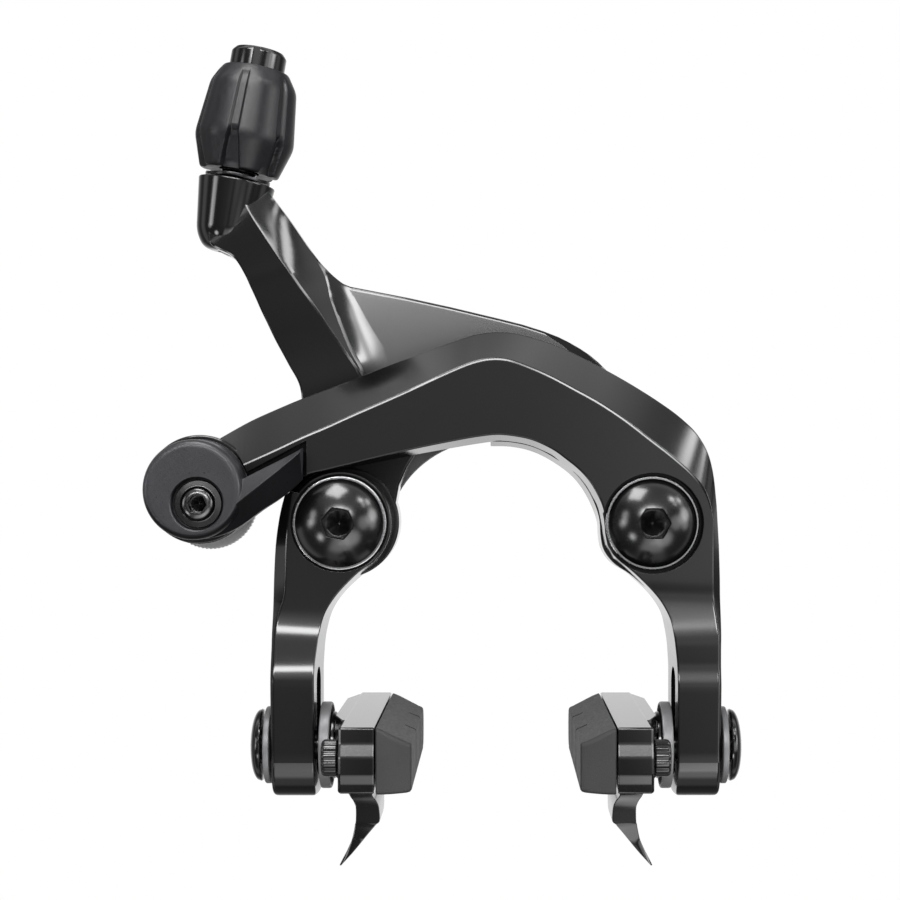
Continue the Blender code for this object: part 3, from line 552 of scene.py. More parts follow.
def leg_rings(side, stations, front):
    """Rings down a leg to its rounded tip; side is -1 for the left and 1 for the right."""
    rings = []
    for (z_out, z_ridge, z_in, z_in_back, x_out, x_ridge, x_in, x_in_back,
         y_front, y_side, y_back) in spline(stations):
        y_ridge = front(min(z_ridge, PROFILE_TOP))
        rings.append(rounded([
            (side * x_ridge, y_ridge, z_ridge),
            (side * x_out, y_ridge + (y_side - y_front), z_out),
            (side * x_out, y_back, z_out), (side * x_in_back, y_back, z_in_back),
            (side * x_in, front(min(z_in, PROFILE_TOP)), z_in)], LEG_EDGES))
    low = front(-36.0)
    middle = (low + LEG_BACK_Y) / 2
    for i in range(1, 15):
        a = math.radians(88.5 * i / 14)
        z = TIP_Z - 7.75 * math.sin(a)
        half = 7.7 * math.cos(a) * ((LEG_BACK_Y - low) / 15.4)
        ease = 0.0 if i < 9 else 0.9 * ((i - 8) / 6.0) ** 2      # narrows the bottom corners
        rings.append(rounded([
            (side * (39.4 - ease), middle - half, z),
            (side * (39.9 - ease), middle - half * 0.93, z),
            (side * (39.9 - ease), middle + half, z), (side * (31.8 + ease), middle + half, z),
            (side * (32.2 + ease), middle - half, z)], LEG_EDGES))
    return rings


def leg_slot(side):
    """Cutter for the upright slot that takes the pad bolt."""
    outline = []
    for z, start in ((-29.1, 0), (-42.3, math.pi)):
        for i in range(33):
            a = start + math.pi * i / 32
            outline.append((PAD_Y + 3.1 * math.cos(a), z + 3.1 * math.sin(a)))
    return loft([[(side * x, y, z) for y, z in outline] for x in (28, 44)])


# ================================================================== front arm
# Arch, from its left end over the top to the right leg. Columns:
# outer x, z | ridge x, z | inner x, z | inner back x, z | y side, y back
ARCH = [
    (-50.5, 15.0, -50.2, 8.0, -49.2, -2.2, -49.2, -2.2, -16.0, -12.5),
    (-44.6, 18.3, -44.3, 10.7, -44.5, 2.0, -44.5, 2.0, -16.0, -12.5),
    (-40.0, 20.4, -39.6, 12.8, -39.2, 5.6, -39.2, 5.6, -16.0, -12.5),
    (-35.5, 22.3, -34.9, 15.0, -34.4, 8.35, -34.4, 8.35, -16.0, -12.5),
    (-31.0, 24.0, -30.4, 16.9, -30.2, 9.45, -30.2, 9.45, -16.0, -12.5),
    (-26.5, 25.7, -26.0, 18.9, -25.9, 10.5, -25.7, 10.2, -16.0, -12.5),
    (-17.4, 29.3, -17.1, 22.8, -17.1, 12.65, -16.4, 12.0, -16.0, -12.5),
    (-8.3, 32.6, -8.2, 26.9, -8.2, 14.5, -8.0, 13.5, -16.0, -12.5),
    (-3.8, 34.05, -4.2, 28.5, -3.2, 15.4, -3.2, 14.3, -16.0, -12.5),
    (-0.2, 34.5, -1.2, 29.15, 0.4, 15.75, 0.2, 14.7, -16.0, -12.5),
    (3.4, 34.3, 2.0, 29.0, 3.8, 15.4, 3.5, 14.45, -16.0, -12.5),
    (8.0, 33.1, 6.1, 27.6, 7.0, 14.6, 6.7, 13.7, -16.0, -12.5),
    (11.8, 31.7, 9.8, 25.95, 10.1, 13.1, 9.8, 12.3, -16.0, -12.5),
    (16.4, 29.5, 14.2, 23.6, 12.6, 11.3, 12.3, 10.5, -16.0, -12.5),
    (20.9, 27.1, 18.5, 21.2, 14.8, 9.5, 14.5, 8.8, -16.0, -12.5),
    (25.2, 24.6, 23.0, 18.2, 16.6, 7.5, 16.2, 6.8, -16.2, -12.5),
    (29.7, 21.7, 27.4, 14.8, 18.0, 5.2, 17.5, 4.5, -16.5, -12.0),
    (33.4, 18.9, 31.4, 11.7, 18.9, 3.2, 18.3, 2.6, -17.1, -11.0),
    (36.3, 15.9, 34.8, 8.7, 19.4, 1.2, 18.7, 0.8, -17.9, -9.6),
    (38.1, 12.6, 36.9, 6.1, 19.6, -0.4, 18.9, -0.8, -18.6, -8.4),
    (39.0, 9.0, 38.0, 3.7, 19.7, -1.8, 19.0, -2.3, -19.1, -7.2),
    (39.6, 3.2, 38.6, 0.4, 20.1, -3.9, 19.3, -4.4, -19.5, -6.2),
]
# Block behind the arch's right half: inner front x, z | inner back x, z | outer x, z
REAR_BLOCK = [
    (-1.0, 14.75, -1.0, 13.95, -1.0, 19.4), (2.6, 14.6, 2.6, 13.85, 2.6, 19.5),
    (6.5, 13.8, 6.3, 13.1, 6.0, 19.6), (10.1, 12.1, 10.0, 11.4, 12.0, 20.3),
    (14.7, 8.65, 14.4, 8.1, 20.0, 20.6), (17.3, 4.95, 17.0, 4.4, 24.5, 20.9),
    (18.8, 0.9, 18.7, 0.2, 29.0, 19.4), (19.1, -2.6, 18.95, -2.6, 33.6, 16.2),
    (19.6, -4.9, 19.4, -5.0, 36.6, 11.8), (21.3, -7.3, 21.1, -7.5, 38.4, 6.5),
    (24.6, -9.6, 24.4, -9.7, 39.2, 0.5), (28.2, -12.7, 28.0, -12.7, 39.6, -6.0),
    (31.0, -14.6, 30.9, -14.6, 39.4, -12.0)]
# x, z of the recess in the arch's front face, under the release lever
LEVER_RECESS = [(-53.0, 4.6), (-47.0, 7.75), (-44.3, 9.15), (-33.75, 14.75), (-33.75, 6.0),
                (-38.0, -2.0), (-53.0, -9.0)]


def arch_and_leg():
    sections = []
    for (x_out, z_out, x_ridge, z_ridge, x_in, z_in, x_in_back, z_in_back,
         y_side, y_back) in spline(ARCH):
        up = Vector((x_out - x_ridge, 0, z_out - z_ridge)).normalized()
        down = Vector((x_in - x_ridge, 0, z_in - z_ridge)).normalized()
        fade = min(1.0, max(0.0, (z_ridge - 1.0) / 3.0))     # the ridge's bevel fades low down
        below = (x_ridge + down.x * 0.19, FACE_Y, z_ridge + down.z * 0.19)
        above = (x_ridge + up.x * 0.27, FACE_Y + 0.096 * fade, z_ridge + up.z * 0.27)
        sections.append(rounded([
            below, above, (x_out, y_side, z_out), (x_out, y_back, z_out),
            (x_in_back, y_back, z_in_back), (x_in, FACE_Y, z_in)],
            [0.07, 0.1, 0.3, 0.45, 0.4, 0.3]))
    # the leg has one corner less: its ridge corner is repeated so that the rings match
    return loft(sections + [[ring[0]] * 4 + ring for ring in leg_rings(1, LEG, right_front)])


def rear_block():
    return loft([rounded([(x_out, -13.4, z_out), (x_out, -6.0, z_out),
                          (x_back, -6.0, z_back), (x_in, -13.4, z_in)], [0, 0.6, 0.45, 0])
                 for x_in, z_in, x_back, z_back, x_out, z_out in spline(REAR_BLOCK, 5)])


def front_arm():
    bolt_seat = [(0, 0), (9.4, 0), (9.4, 5.0), (9.0, 5.5), (9.0, 8.0), (0, 8.0)]
    return combine(
        arch_and_leg(),
        ("+", rear_block()),
        ("+", disc_y((BOLT_X, 0), -14.0, 8.95, 10.7, 0, 0.5)),
        ("+", disc_y(RELEASE, SEAT_Y, 9.8, 7.2, 0.5, 0.5)),
        ("-", prism_y(LEVER_RECESS, -30, SEAT_Y)),
        ("-", rod_y(RELEASE, 9.35, -30, SEAT_Y, 120)),
        ("-", rod_y(RELEASE, 6.6, -22, -10)),
        ("-", turned(bolt_seat, (BOLT_X, -27.5, 0), Y_AXIS, 120)),
        ("-", rod_y((BOLT_X, 0), 6.5, -22, 0)),
        ("-", rod_y((0, 24), 1.8, -18.3, -10, 32)),      # hole behind the link roller's place
        ("-", leg_slot(1)),
    )


piece("front_arm_shell", front_arm(), M_FRONT, "front_arm_body", "front_arm",
      sharp_angle=9)

# =================================================================== rear arm
# Strut from the cable stop down to the web. Columns: left x, z | ridge x, z, y | foot x, z |
# end x, z | share of the fillet | tilt at ridge and foot, degrees | y of the left edge
# behind the ridge
STRUT = [
    (-53.0, 54.8, -46.8, 60.6, -13.2, -42.2, 61.2, -42.1, 61.2, 0.0, 26.0, 28.0, 0.9),
    (-52.3, 51.0, -45.2, 57.0, -13.9, -40.8, 59.2, -40.7, 59.3, 0.0, 27.0, 29.0, 0.7),
    (-48.1, 48.5, -42.2, 52.3, -14.2, -38.1, 55.6, -38.0, 55.7, 0.0, 29.0, 42.0, 0.6),
    (-45.9, 45.2, -38.9, 47.4, -14.2, -34.9, 50.9, -34.7, 50.9, 0.0, 38.0, 48.0, 0.5),
    (-44.9, 43.0, -37.3, 45.1, -14.0, -33.3, 48.5, -31.9, 47.3, 0.35, 42.0, 49.0, 0.6),
    (-43.9, 40.8, -35.8, 42.9, -13.8, -31.9, 46.0, -28.4, 44.1, 1.0, 45.0, 48.0, 0.6),
    (-43.0, 38.7, -34.4, 41.0, -13.6, -31.2, 43.8, -25.0, 42.3, 1.0, 46.0, 48.0, 0.6),
    (-42.0, 36.6, -33.0, 39.0, -13.35, -30.6, 41.2, -23.4, 40.2, 1.0, 46.0, 48.0, 0.6),
    (-40.5, 33.4, -30.4, 35.1, -12.85, -28.95, 36.6, -20.4, 35.8, 1.0, 47.0, 49.0, 0.55),
    (-38.1, 28.9, -27.7, 31.1, -12.4, -27.0, 31.9, -17.4, 31.8, 1.0, 47.0, 48.0, 0.5),
    (-36.0, 24.7, -25.3, 27.5, -12.15, -24.8, 27.8, -15.8, 28.2, 1.0, 42.0, 42.0, 0.4),
    (-35.6, 17.0, -22.6, 22.0, -12.0, -22.1, 22.3, -15.0, 22.5, 1.0, 20.0, 20.0, 0.2),
]
STRUT_BACK_Y = -3.7
# x, z of the web between the left boss and the wing
WEB = [(-37.6, -2.0), (-38.2, 3.0), (-37.4, 11.0), (-35.6, 18.0), (-34.6, 20.5), (-33.0, 22.4),
       (-26.0, 22.6), (-15.0, 24.0), (-7.0, 25.0), (-7.2, 22.5), (-8.6, 20.0), (-12.6, 14.9),
       (-14.9, 12.3), (-16.3, 10.1), (-17.8, 6.7), (-18.4, 3.4), (-18.4, 0.0), (-18.6, -3.0)]
# x, z of the wing that reaches right from the strut
WING = [(-34.0, 30.0), (-31.5, 46.9), (-30.0, 45.2), (-28.6, 44.2), (-27.0, 43.55),
        (-16.3, 41.45), (-8.4, 39.7), (0.7, 37.5), (5.0, 36.4), (9.0, 35.1), (11.5, 34.2),
        (13.6, 33.2), (15.6, 32.1), (17.3, 31.0), (19.0, 29.6), (20.4, 28.2), (21.8, 26.6),
        (22.9, 24.9), (22.7, 24.0), (21.8, 23.5), (20.0, 23.3), (16.0, 24.4), (12.6, 26.4),
        (12.2, 30.3), (-5.0, 30.3), (-6.0, 25.0), (-20.0, 22.0)]
WING_Y = -11.6
# Chamfer on the wing's upper right edge: x, z, width
WING_CHAMFER = [(4.0, 37.9, 0.0), (9.0, 36.6, 0.7), (13.6, 34.6, 1.5), (17.3, 32.2, 2.2),
                (20.4, 29.3, 2.6), (22.6, 25.6, 2.4)]


def wing_lean(z):
    """How far the wing's front face lies behind WING_Y."""
    return 0.163 * (z - 24.0)


def strut():
    sections = []
    for (left_x, left_z, ridge_x, ridge_z, ridge_y, foot_x, foot_z, end_x, end_z,
         share, ridge_tilt, foot_tilt, drop) in spline(STRUT):
        share = min(1.0, max(0.0, share))
        left_y = ridge_y + drop
        left, ridge, foot, end = (Vector((x, 0, z)) for x, z in (
            (left_x, left_z), (ridge_x, ridge_z), (foot_x, foot_z), (end_x, end_z)))
        across, down = (ridge - left).normalized(), (foot - ridge).normalized()
        run = [(left_x, STRUT_BACK_Y, left_z), (left_x, left_y + 0.42, left_z),
               (left_x + across.x * 0.06, left_y + 0.13, left_z + across.z * 0.06)]
        y = ridge_y + 0.24
        for q, depth in ((left + across * 0.34, left_y), (ridge - across * 0.1, ridge_y),
                         (ridge + down * 0.27, y)):
            run.append((q.x, depth, q.z))
        # slope from the ridge to the foot
        width, steps = (foot - ridge).length - 0.27, 8
        for k in range(1, steps + 1):
            tilt = ridge_tilt + (foot_tilt - ridge_tilt) * (k - 0.5) / steps
            y += width / steps * math.tan(math.radians(tilt))
            q = ridge + down * (0.27 + width * k / steps)
            run.append((q.x, y, q.z))
        # a narrow strip that catches the light, then the hollow
        band = 0.6 * share + 0.03
        for k in (1, 2):
            y += band / 2 * math.tan(math.radians(35.0 - 2.0 * k))
            q = foot + down * (band * k / 2)
            run.append((q.x, y, q.z))
        foot = foot + down * band
        high = WING_Y + wing_lean(foot.z) - y
        for k in range(1, 15):
            u = k / 14
            q = foot + (end - foot) * u
            fillet = WING_Y + wing_lean(q.z) - high * (1 - u) ** 3.4 + 0.03 * u
            wall = y + (-3.9 - y) * u
            run.append((q.x, fillet * share + wall * (1 - share), q.z))
        run.append((end_x, STRUT_BACK_Y, end_z))
        sections.append(run)
    return loft(sections)


def wing():
    sections = []
    for i, (x, z, width) in enumerate(WING_CHAMFER):
        before = WING_CHAMFER[max(i - 1, 0)]
        after = WING_CHAMFER[min(i + 1, len(WING_CHAMFER) - 1)]
        along = Vector((after[0] - before[0], 0, after[1] - before[1])).normalized()
        outward = Vector((-along.z, 0, along.x))
        y = WING_Y + wing_lean(z)
        on_edge = Vector((x, 0, z)) - outward * 1.0
        low, far = on_edge - outward * width, on_edge + outward * 3.0
        deep = y + width * 1.35 + 0.1
        sections.append([(low.x, y - 0.3, low.z), (on_edge.x, deep, on_edge.z),
                         (far.x, deep, far.z), (far.x, y - 4, far.z), (low.x, y - 4, low.z)])
    plate = plate_y(WING, WING_Y, -3.5, front=wing_lean, lip=0.28)
    return combine(plate, ("-", loft(sections)))


def rear_arm():
    bolt = (-BOLT_X, 0)
    cable_stop = fillet_profile([(0, -0.5), (3.9, -0.5, 2.2), (5.8, 2.3, 1.6),
                                 (7.1, 12.6, 0.35), (0, 12.6)], 6)
    return combine(
        loft(leg_rings(-1, LEFT_LEG, left_front)),
        ("+", disc_y(bolt, -20.45, 9.25, 11.2, 0.35, 0)),
        ("+", disc_y(bolt, -11.9, 10.25, 8.5, 0.4, 0.5)),
        ("+", plate_y(WEB, -11.75, -3.6)),
        ("+", wing()),
        ("+", strut()),
        ("+", turned(cable_stop, on_stop_axis(0), STOP_DIR, 144)),
        ("-", rod_y(bolt, 8.75, -30, SEAT_Y, 120)),
        ("-", rod_y(bolt, 6.5, -22, 0)),
        ("-", rod_y(bolt, 9.0, -9.0, 0, 96)),
        ("-", rod(on_stop_axis(2.7), on_stop_axis(16), 3.6)),
        ("-", rod(on_stop_axis(-6), on_stop_axis(3), 1.35, 32)),
        ("-", rod((-2.5, -6.4, 28), (-2.5, -6.4, 45), 1.8, 32)),
        ("-", leg_slot(-1)),
    )


piece("rear_arm_shell", rear_arm(), M_ARM, "rear_arm_body", "rear_arm",
      sharp_angle=9)


# ============================================================= mounting bolts
def mounting_bolt(x, spin):
    """Domed M6 bolt with a hexagon socket; heights run back from the head's front."""
    head_r, dome_r = 7.86, 9.3
    turns, end = thread(2.98, 2.55, 36.3, 26.0, -1.0, (-0.25, -0.5, -0.6))
    profile = [(0, 37.0), (2.2, 37.0), (2.7, 36.5)] + turns
    profile += [(2.9, end), (2.9, 4.75), (7.5, 4.75), (7.75, 4.68), (7.9, 4.5), (7.93, 4.25),
                (head_r, 4.0)]

    def sag(r):
        return 1 - math.sqrt(1 - (r / dome_r) ** 2)

    for i in range(1, 17):
        r = head_r - (head_r - 2.3) * i / 16
        profile.append((r, 0.12 + 3.88 * (sag(r) / sag(head_r))))
    profile.append((0, 0.32))
    corner = hex_radius(2.5)
    angles = [math.pi / 3 * i + spin for i in range(6)]
    mouth = loft([[(x + math.cos(a) * corner * f, y, -math.sin(a) * corner * f) for a in angles]
                  for f, y in ((1.26, -25.3), (0.99, -24.35))])
    drill_tip = [(0, 0), (2.4, 0), (0.15, 1.5), (0, 1.5)]
    return combine(turned(profile, (x, -25.2, 0), Y_AXIS, 120),
                   ("-", rod_y((x, 0), corner, -27, -21.7, 6, spin)),
                   ("-", mouth),
                   ("-", turned(drill_tip, (x, -21.75, 0), Y_AXIS, 60)))


for side, x, spin in (("left", -BOLT_X, 0.17), ("right", BOLT_X, 0.0)):
    piece(side + "_bolt_domed", mounting_bolt(x, spin), M_DOME, "root",
          side + "_mounting_bolt")
    piece(side + "_rim_washer",
          washer(3.3, 8.42, 0.62, (x, -20.42, 0), Y_AXIS, edge=0.28, n=120, seg=4), M_RIM,
          "root", side + "_head_washer")

# ============================================================== quick release
# Lever from its disc out to the finger tip. Columns:
# lower x, z | ridge x, z, y | upper x, z | y of the rims, y of the back
LEVER = [
    (-55.0, -1.6, -54.0, 1.6, -27.9, -53.0, 6.6, -27.2, -21.0),
    (-51.6, -2.6, -50.6, 0.3, -28.0, -49.6, 6.5, -27.0, -21.0),
    (-48.6, -2.1, -47.8, 1.5, -28.1, -47.2, 7.0, -26.7, -21.0),
    (-45.2, -0.5, -45.1, 3.8, -28.1, -44.6, 7.9, -26.5, -21.0),
    (-41.4, 2.3, -42.0, 6.3, -28.0, -41.4, 9.5, -26.3, -21.2),
    (-38.3, 4.3, -38.8, 8.9, -27.8, -38.0, 11.2, -26.2, -22.4),
    (-35.6, 6.4, -36.0, 11.2, -27.5, -35.3, 12.6, -26.1, -23.6),
    (-34.25, 7.7, -34.4, 12.7, -27.2, -34.1, 13.3, -26.0, -24.0),
]


def at_anchor(y):
    return (ANCHOR[0], y, ANCHOR[1])


def release_lever():
    disc = fillet_profile([(0, 7.6), (8.3, 7.6, 0.3), (8.84, 7.0, 0.3), (8.84, 1.3, 0.7),
                           (8.45, 0.35, 0.4), (7.9, 0.0, 0.6), (0, 0)], 5)
    sections = [rounded([(x_up, y_rim, z_up), (x_up, y_back, z_up), (x_low, y_back, z_low),
                         (x_low, y_rim + 1.9, z_low), (x_ridge, y_ridge, z_ridge)],
                        [0.3, 0.3, 0.3, 0.35, 0.3])
                for x_low, z_low, x_ridge, z_ridge, y_ridge, x_up, z_up, y_rim, y_back
                in spline(LEVER)]
    recess = [(0, 0), (4.95, 0), (4.6, 0.35), (4.6, 2.6), (0, 2.6)]
    return combine(
        turned(disc, (RELEASE[0], -28.2, RELEASE[1]), Y_AXIS, 144),
        ("+", loft(sections)),
        ("+", rod_y(RELEASE, 6.3, -21.5, -12.5, 96)),
        ("-", turned(recess, at_anchor(-28.35), Y_AXIS)),
        ("-", rod_y(ANCHOR, 2.8, -30, -10, 48)),
    )


def anchor_bolt():
    profile = fillet_profile([(0, 0.35), (1.9, 0.25, 0.2), (2.75, 0.55, 0.5),
                              (3.05, 1.45, 0.15), (4.2, 1.5, 0.15), (4.25, 2.1, 0.1),
                              (2.5, 2.1), (2.5, 22.3, 0.3), (0, 22.3)])
    drill_tip = [(0, 0), (1.5, 0), (0.1, 1.0), (0, 1.0)]
    return combine(turned(profile, at_anchor(-28.3), Y_AXIS, 72),
                   ("-", rod_y(ANCHOR, hex_radius(1.5), -30, -25.6, 6, 0.12)),
                   ("-", turned(drill_tip, at_anchor(-25.65), Y_AXIS, 40)))


def knurl(angle, r, h):
    """72 fine ridges on the washer's rim."""
    if r < 7.5:
        return r, h
    return r + 0.17 * abs(((angle * 72 / (2 * math.pi)) % 1.0) - 0.5) * 2 - 0.08, h


def anchor_nut():
    nut = combine(disc_y(ANCHOR, -9.6, 4.75, 3.4, 0.5, 0.9, 96),
                  ("-", rod_y(ANCHOR, 2.8, -12, -4, 48)))
    for i in range(6):                   # one flat at a time
        a = math.radians(60 * i + 12)
        out = Vector((math.cos(a), 0, math.sin(a)))
        flat = Vector(at_anchor(0)) + out * 4.0
        along = Vector((-out.z, 0, out.x))
        corners = [flat + along * 5, flat - along * 5, flat - along * 5 + out * 4,
                   flat + along * 5 + out * 4]
        nut = combine(nut, ("-", prism_y([(v.x, v.z) for v in corners], -14, -2)))
    return nut


piece("release_lever_arm", release_lever(), M_LEVER, "release_body", "release_lever")
piece("anchor_bolt_head", anchor_bolt(), M_ANCHOR, "release_body", "cable_anchor_bolt")
piece("clamp_washer_knurled",
      washer(2.8, 8.4, 2.2, at_anchor(-12.1), Y_AXIS, edge=0.25, n=288, shape=knurl),
      M_CLAMP, "release_body", "cable_clamp_washer")
piece("anchor_hex_nut", anchor_nut(), M_DARK, "release_body", "anchor_nut")
piece("release_thrust_washer",
      washer(6.6, 9.0, 0.65, (RELEASE[0], -20.45, RELEASE[1]), Y_AXIS, edge=0.15),
      M_DARK, "release_body", "release_friction_washer")

# ============================================================ barrel adjuster
FLUTES = 6
FLUTE_PHASE = math.radians(-96)


def fluted(angle, r, h):
    """Flutes that widen and deepen low on the knob and run out at its top."""
    if r < 6.3:
        return r, h
    x = abs(((angle - FLUTE_PHASE) / (2 * math.pi) * FLUTES + 0.5) % 1.0 - 0.5)
    half_width = 0.075 + 0.15 * max(0.0, (6.4 - h) / 6.4)
    groove = 1 - min(1.0, max(0.0, (x - half_width) / 0.035))
    groove = groove * groove * (3 - 2 * groove)
    end = min(1.0, max(0.0, (KNOB_HEIGHT - 1.2 - h) / 1.2))
    depth = 0.55 * end + (0.75 * min(1.0, max(0.0, (7.2 - h) / 0.5)) if h < 7.2 else 0.0)
    flat = 0.22 * (math.cos(2 * math.pi * (x - 0.5)) - 1) * end * 0.5
    return max(6.25, r - groove * depth + flat), h


def adjuster_knob():
    profile = fillet_profile([
        (3.75, 0.4), (6.2, 0.0), (7.35, 0.0, 0.5), (9.3, 6.0, 1.1), (8.05, 16.3, 1.0),
        (6.15, 19.15, 0.3), (5.9, KNOB_HEIGHT, 0.1), (5.4, 19.25, 0.1), (5.4, 14.3),
        (3.75, 14.3)])
    # more rings along the flanks, so that the flutes stay smooth
    dense = [profile[0]]
    for a, b in zip(profile, profile[1:]):
        length = math.hypot(b[0] - a[0], b[1] - a[1])
        steps = max(1, int(length / 0.35)) if a[0] > 6.5 and b[0] > 6.0 else 1
        for k in range(1, steps + 1):
            dense.append((a[0] + (b[0] - a[0]) * k / steps, a[1] + (b[1] - a[1]) * k / steps))
    return turned(dense, on_stop_axis(KNOB_START), STOP_DIR, 360, fluted)


def adjuster_barrel():
    """Threaded tube whose head stands out of the knob, with a key groove in the front."""
    head_r, key_half, key_depth = 5.1, 0.62, 0.7
    base = on_stop_axis(KNOB_START + KNOB_HEIGHT)
    turns, _ = thread(3.35, 3.0, -27.2, -3.0, 1.0, (0.2, 0.5, 0.6))
    profile = [(1.25, -28.2), (2.9, -28.2), (3.2, -27.7)] + turns
    profile += [(3.3, -1.8), (5.05, -1.8), (head_r, -1.6), (head_r, 2.75), (4.95, 3.05),
                (4.45, 3.62), (4.2, 3.7), (2.6, 3.7), (2.6, 2.2), (1.25, 2.0)]
    side = Vector((STOP_DIR.z, 0, -STOP_DIR.x))
    forward = Vector((0, -1, 0))
    centre = base + side * 0.15
    corners = [centre + side * (key_half * across) + forward * (head_r - key_depth + out * 3.0)
               for across, out in ((-1, 0), (1, 0), (1, 1), (-1, 1))]
    key = loft([[tuple(p + STOP_DIR * h) for p in corners] for h in (-1.2, 6.0)])
    return combine(turned(profile, base, STOP_DIR), ("-", key))


def wavy(angle, r, h):
    return r, h + 0.12 * math.cos(4 * angle)


piece("adjuster_knob_fluted", adjuster_knob(), M_KNOB, "adjuster_knob_body", "adjuster_knob",
      sharp_angle=40)
piece("adjuster_barrel_keyed", adjuster_barrel(), M_GLOSS, "adjuster_barrel_body",
      "adjuster_barrel")
piece("detent_wave_spring",
      washer(4.2, 6.0, 0.6, on_stop_axis(13.0), STOP_DIR, shape=wavy), M_DARK,
      "rear_arm_body", "adjuster_detent_spring")

# ======================================================= pads (left side built)
PAD_FRONT, PAD_BACK = PAD_Y - 27.5 + 3.0, PAD_Y + 27.5 + 3.0
PAD_LOW, PAD_TOP = -45.2, -33.9
SCREW_Y, SCREW_Z = -35.0, -39.8
# Fin under the holder: outer x, inner x, front y, back y, z
FIN = [
    (-25.1, -20.75, -40.7, -21.5, -44.2), (-24.7, -20.75, -40.7, -22.0, -45.3),
    (-23.9, -19.9, -40.55, -23.6, -46.6), (-23.6, -19.6, -40.5, -26.4, -47.8),
    (-23.6, -19.5, -40.5, -29.0, -49.2), (-23.75, -20.2, -40.45, -30.6, -50.3),
    (-23.95, -21.1, -40.2, -31.8, -51.4), (-24.3, -22.3, -39.85, -33.3, -52.9),
    (-24.7, -23.1, -39.75, -34.2, -53.9), (-25.3, -24.2, -39.75, -35.4, -55.2),
    (-25.9, -25.2, -39.7, -36.4, -56.3), (-26.4, -26.1, -39.6, -37.4, -57.3),
]
# Rubber block: x | insets at the front, back and bottom | top z | upper front corner radius
RUBBER = [
    (-20.2, 0.5, 0.3, 0.15, PAD_TOP - 0.15, 0.5),
    (-20.0, 0.3, 0.2, 0.05, PAD_TOP - 0.05, 0.6),
    (-19.0, 0.25, 0.2, 0.05, -34.35, 0.8),
    (-17.6, 0.35, 0.3, 0.1, -35.05, 0.9),
    (-16.2, 0.5, 0.6, 0.2, -35.75, 0.9),
    (-15.0, 0.7, 0.9, 0.3, -36.3, 0.8),
    (-14.45, 0.9, 1.2, 0.45, -36.5, 0.7),
    (-14.2, 1.2, 1.5, 0.75, -36.75, 0.6),
]


def loft_x(rings):
    """Lofts (x, outline) pairs whose outlines are (y, z) points."""
    return loft([[(x, y, z) for y, z in outline] for x, outline in rings])


def holder_outline():
    """Side outline: flat top, a stepped front end, a rounded rear end."""
    radius, steps = 2.2, 6
    points = [(-39.4, PAD_LOW), (-40.9, PAD_LOW + 0.25), (-40.9, PAD_LOW + 1.8),
              (-41.25, PAD_LOW + 3.35), (-41.25, PAD_LOW + 6.35), (-40.6, PAD_LOW + 8.6),
              (-40.6, PAD_TOP - 0.25), (-40.35, PAD_TOP)]
    for z, start in ((PAD_TOP - radius, math.pi / 2), (PAD_LOW + radius, 0)):
        for k in range(steps + 1):
            a = start - math.pi / 2 * k / steps
            points.append((PAD_BACK - radius + radius * math.cos(a), z + radius * math.sin(a)))
    soft = rounded([(y, z, 0) for y, z in points],
                   [0.4, 0.3, 0.25, 0.3, 0.3, 0.3, 0.2, 0.15] + [0.0] * 14)
    return [p[:2] for p in soft]


def pad_holder():
    outline = holder_outline()
    body = loft_x([(-26.6, inset(outline, 0.5)), (-26.45, inset(outline, 0.2)),
                   (-26.1, outline), (-20.75, outline), (-20.5, inset(outline, 0.12))])
    spine = [[(-26.0, -30.8 + f, z), (-26.6, -30.6 + f, z), (-28.4 + f * 0.8, -24.0 + f, z),
              (-28.4 + f * 0.8, 2.0 - f, z), (-26.6, 8.5 - f, z), (-26.0, 8.8 - f, z)]
             for z, f in ((-45.1, 0.75), (-44.7, 0.0), (-34.1, 0.0), (-33.93, 0.15))]
    boss = fillet_profile([(0, 0), (5.0, 0, 0.4), (5.3, 3.4), (0, 3.4)])
    fin = [rounded([(x_out, front + 0.5, z), (x_in, front + 0.1, z), (x_in, back, z),
                    (x_out, back, z)], 0.22, 2)
           for x_out, x_in, front, back, z in spline(FIN, 4)]
    return combine(
        body,
        ("+", loft(spine)),
        ("+", turned(boss, (-28.4, PAD_Y, PAD_Z), X_AXIS, 72)),
        ("+", loft(fin)),
        ("-", rod((-30, PAD_Y, PAD_Z), (-22.6, PAD_Y, PAD_Z), 2.9)),
        ("-", rod((-30, SCREW_Y, SCREW_Z), (-23.0, SCREW_Y, SCREW_Z), 1.5, 32)),
    )


def rubber_outline(y0, y1, z0, z1, front_radius, n=7):
    points = []
    for y, z, start, r in ((y1 - 3.0, z1 - 3.0, 0, 3.0),
                           (y0 + front_radius, z1 - front_radius, 90, front_radius),
                           (y0 + 0.7, z0 + 0.7, 180, 0.7), (y1 - 3.0, z0 + 3.0, 270, 3.0)):
        for i in range(n):
            a = math.radians(start + 90 * i / (n - 1))
            points.append((y + r * math.cos(a), z + r * math.sin(a)))
    return points


def rubber_block():
    block = loft_x([(x, rubber_outline(PAD_FRONT + front, PAD_BACK - back, PAD_LOW + low, top,
                                       radius))
                    for x, front, back, low, top, radius in RUBBER])
    for y in (10.0, -5.4, -22.5):        # three upright grooves
        groove = loft_x([(x, [(y - half, -50), (y + half, -50), (y + half, -30),
                              (y - half, -30)]) for x, half in ((-13, 0.65), (-16.2, 0.5))])
        block = combine(block, ("-", groove))
    return block


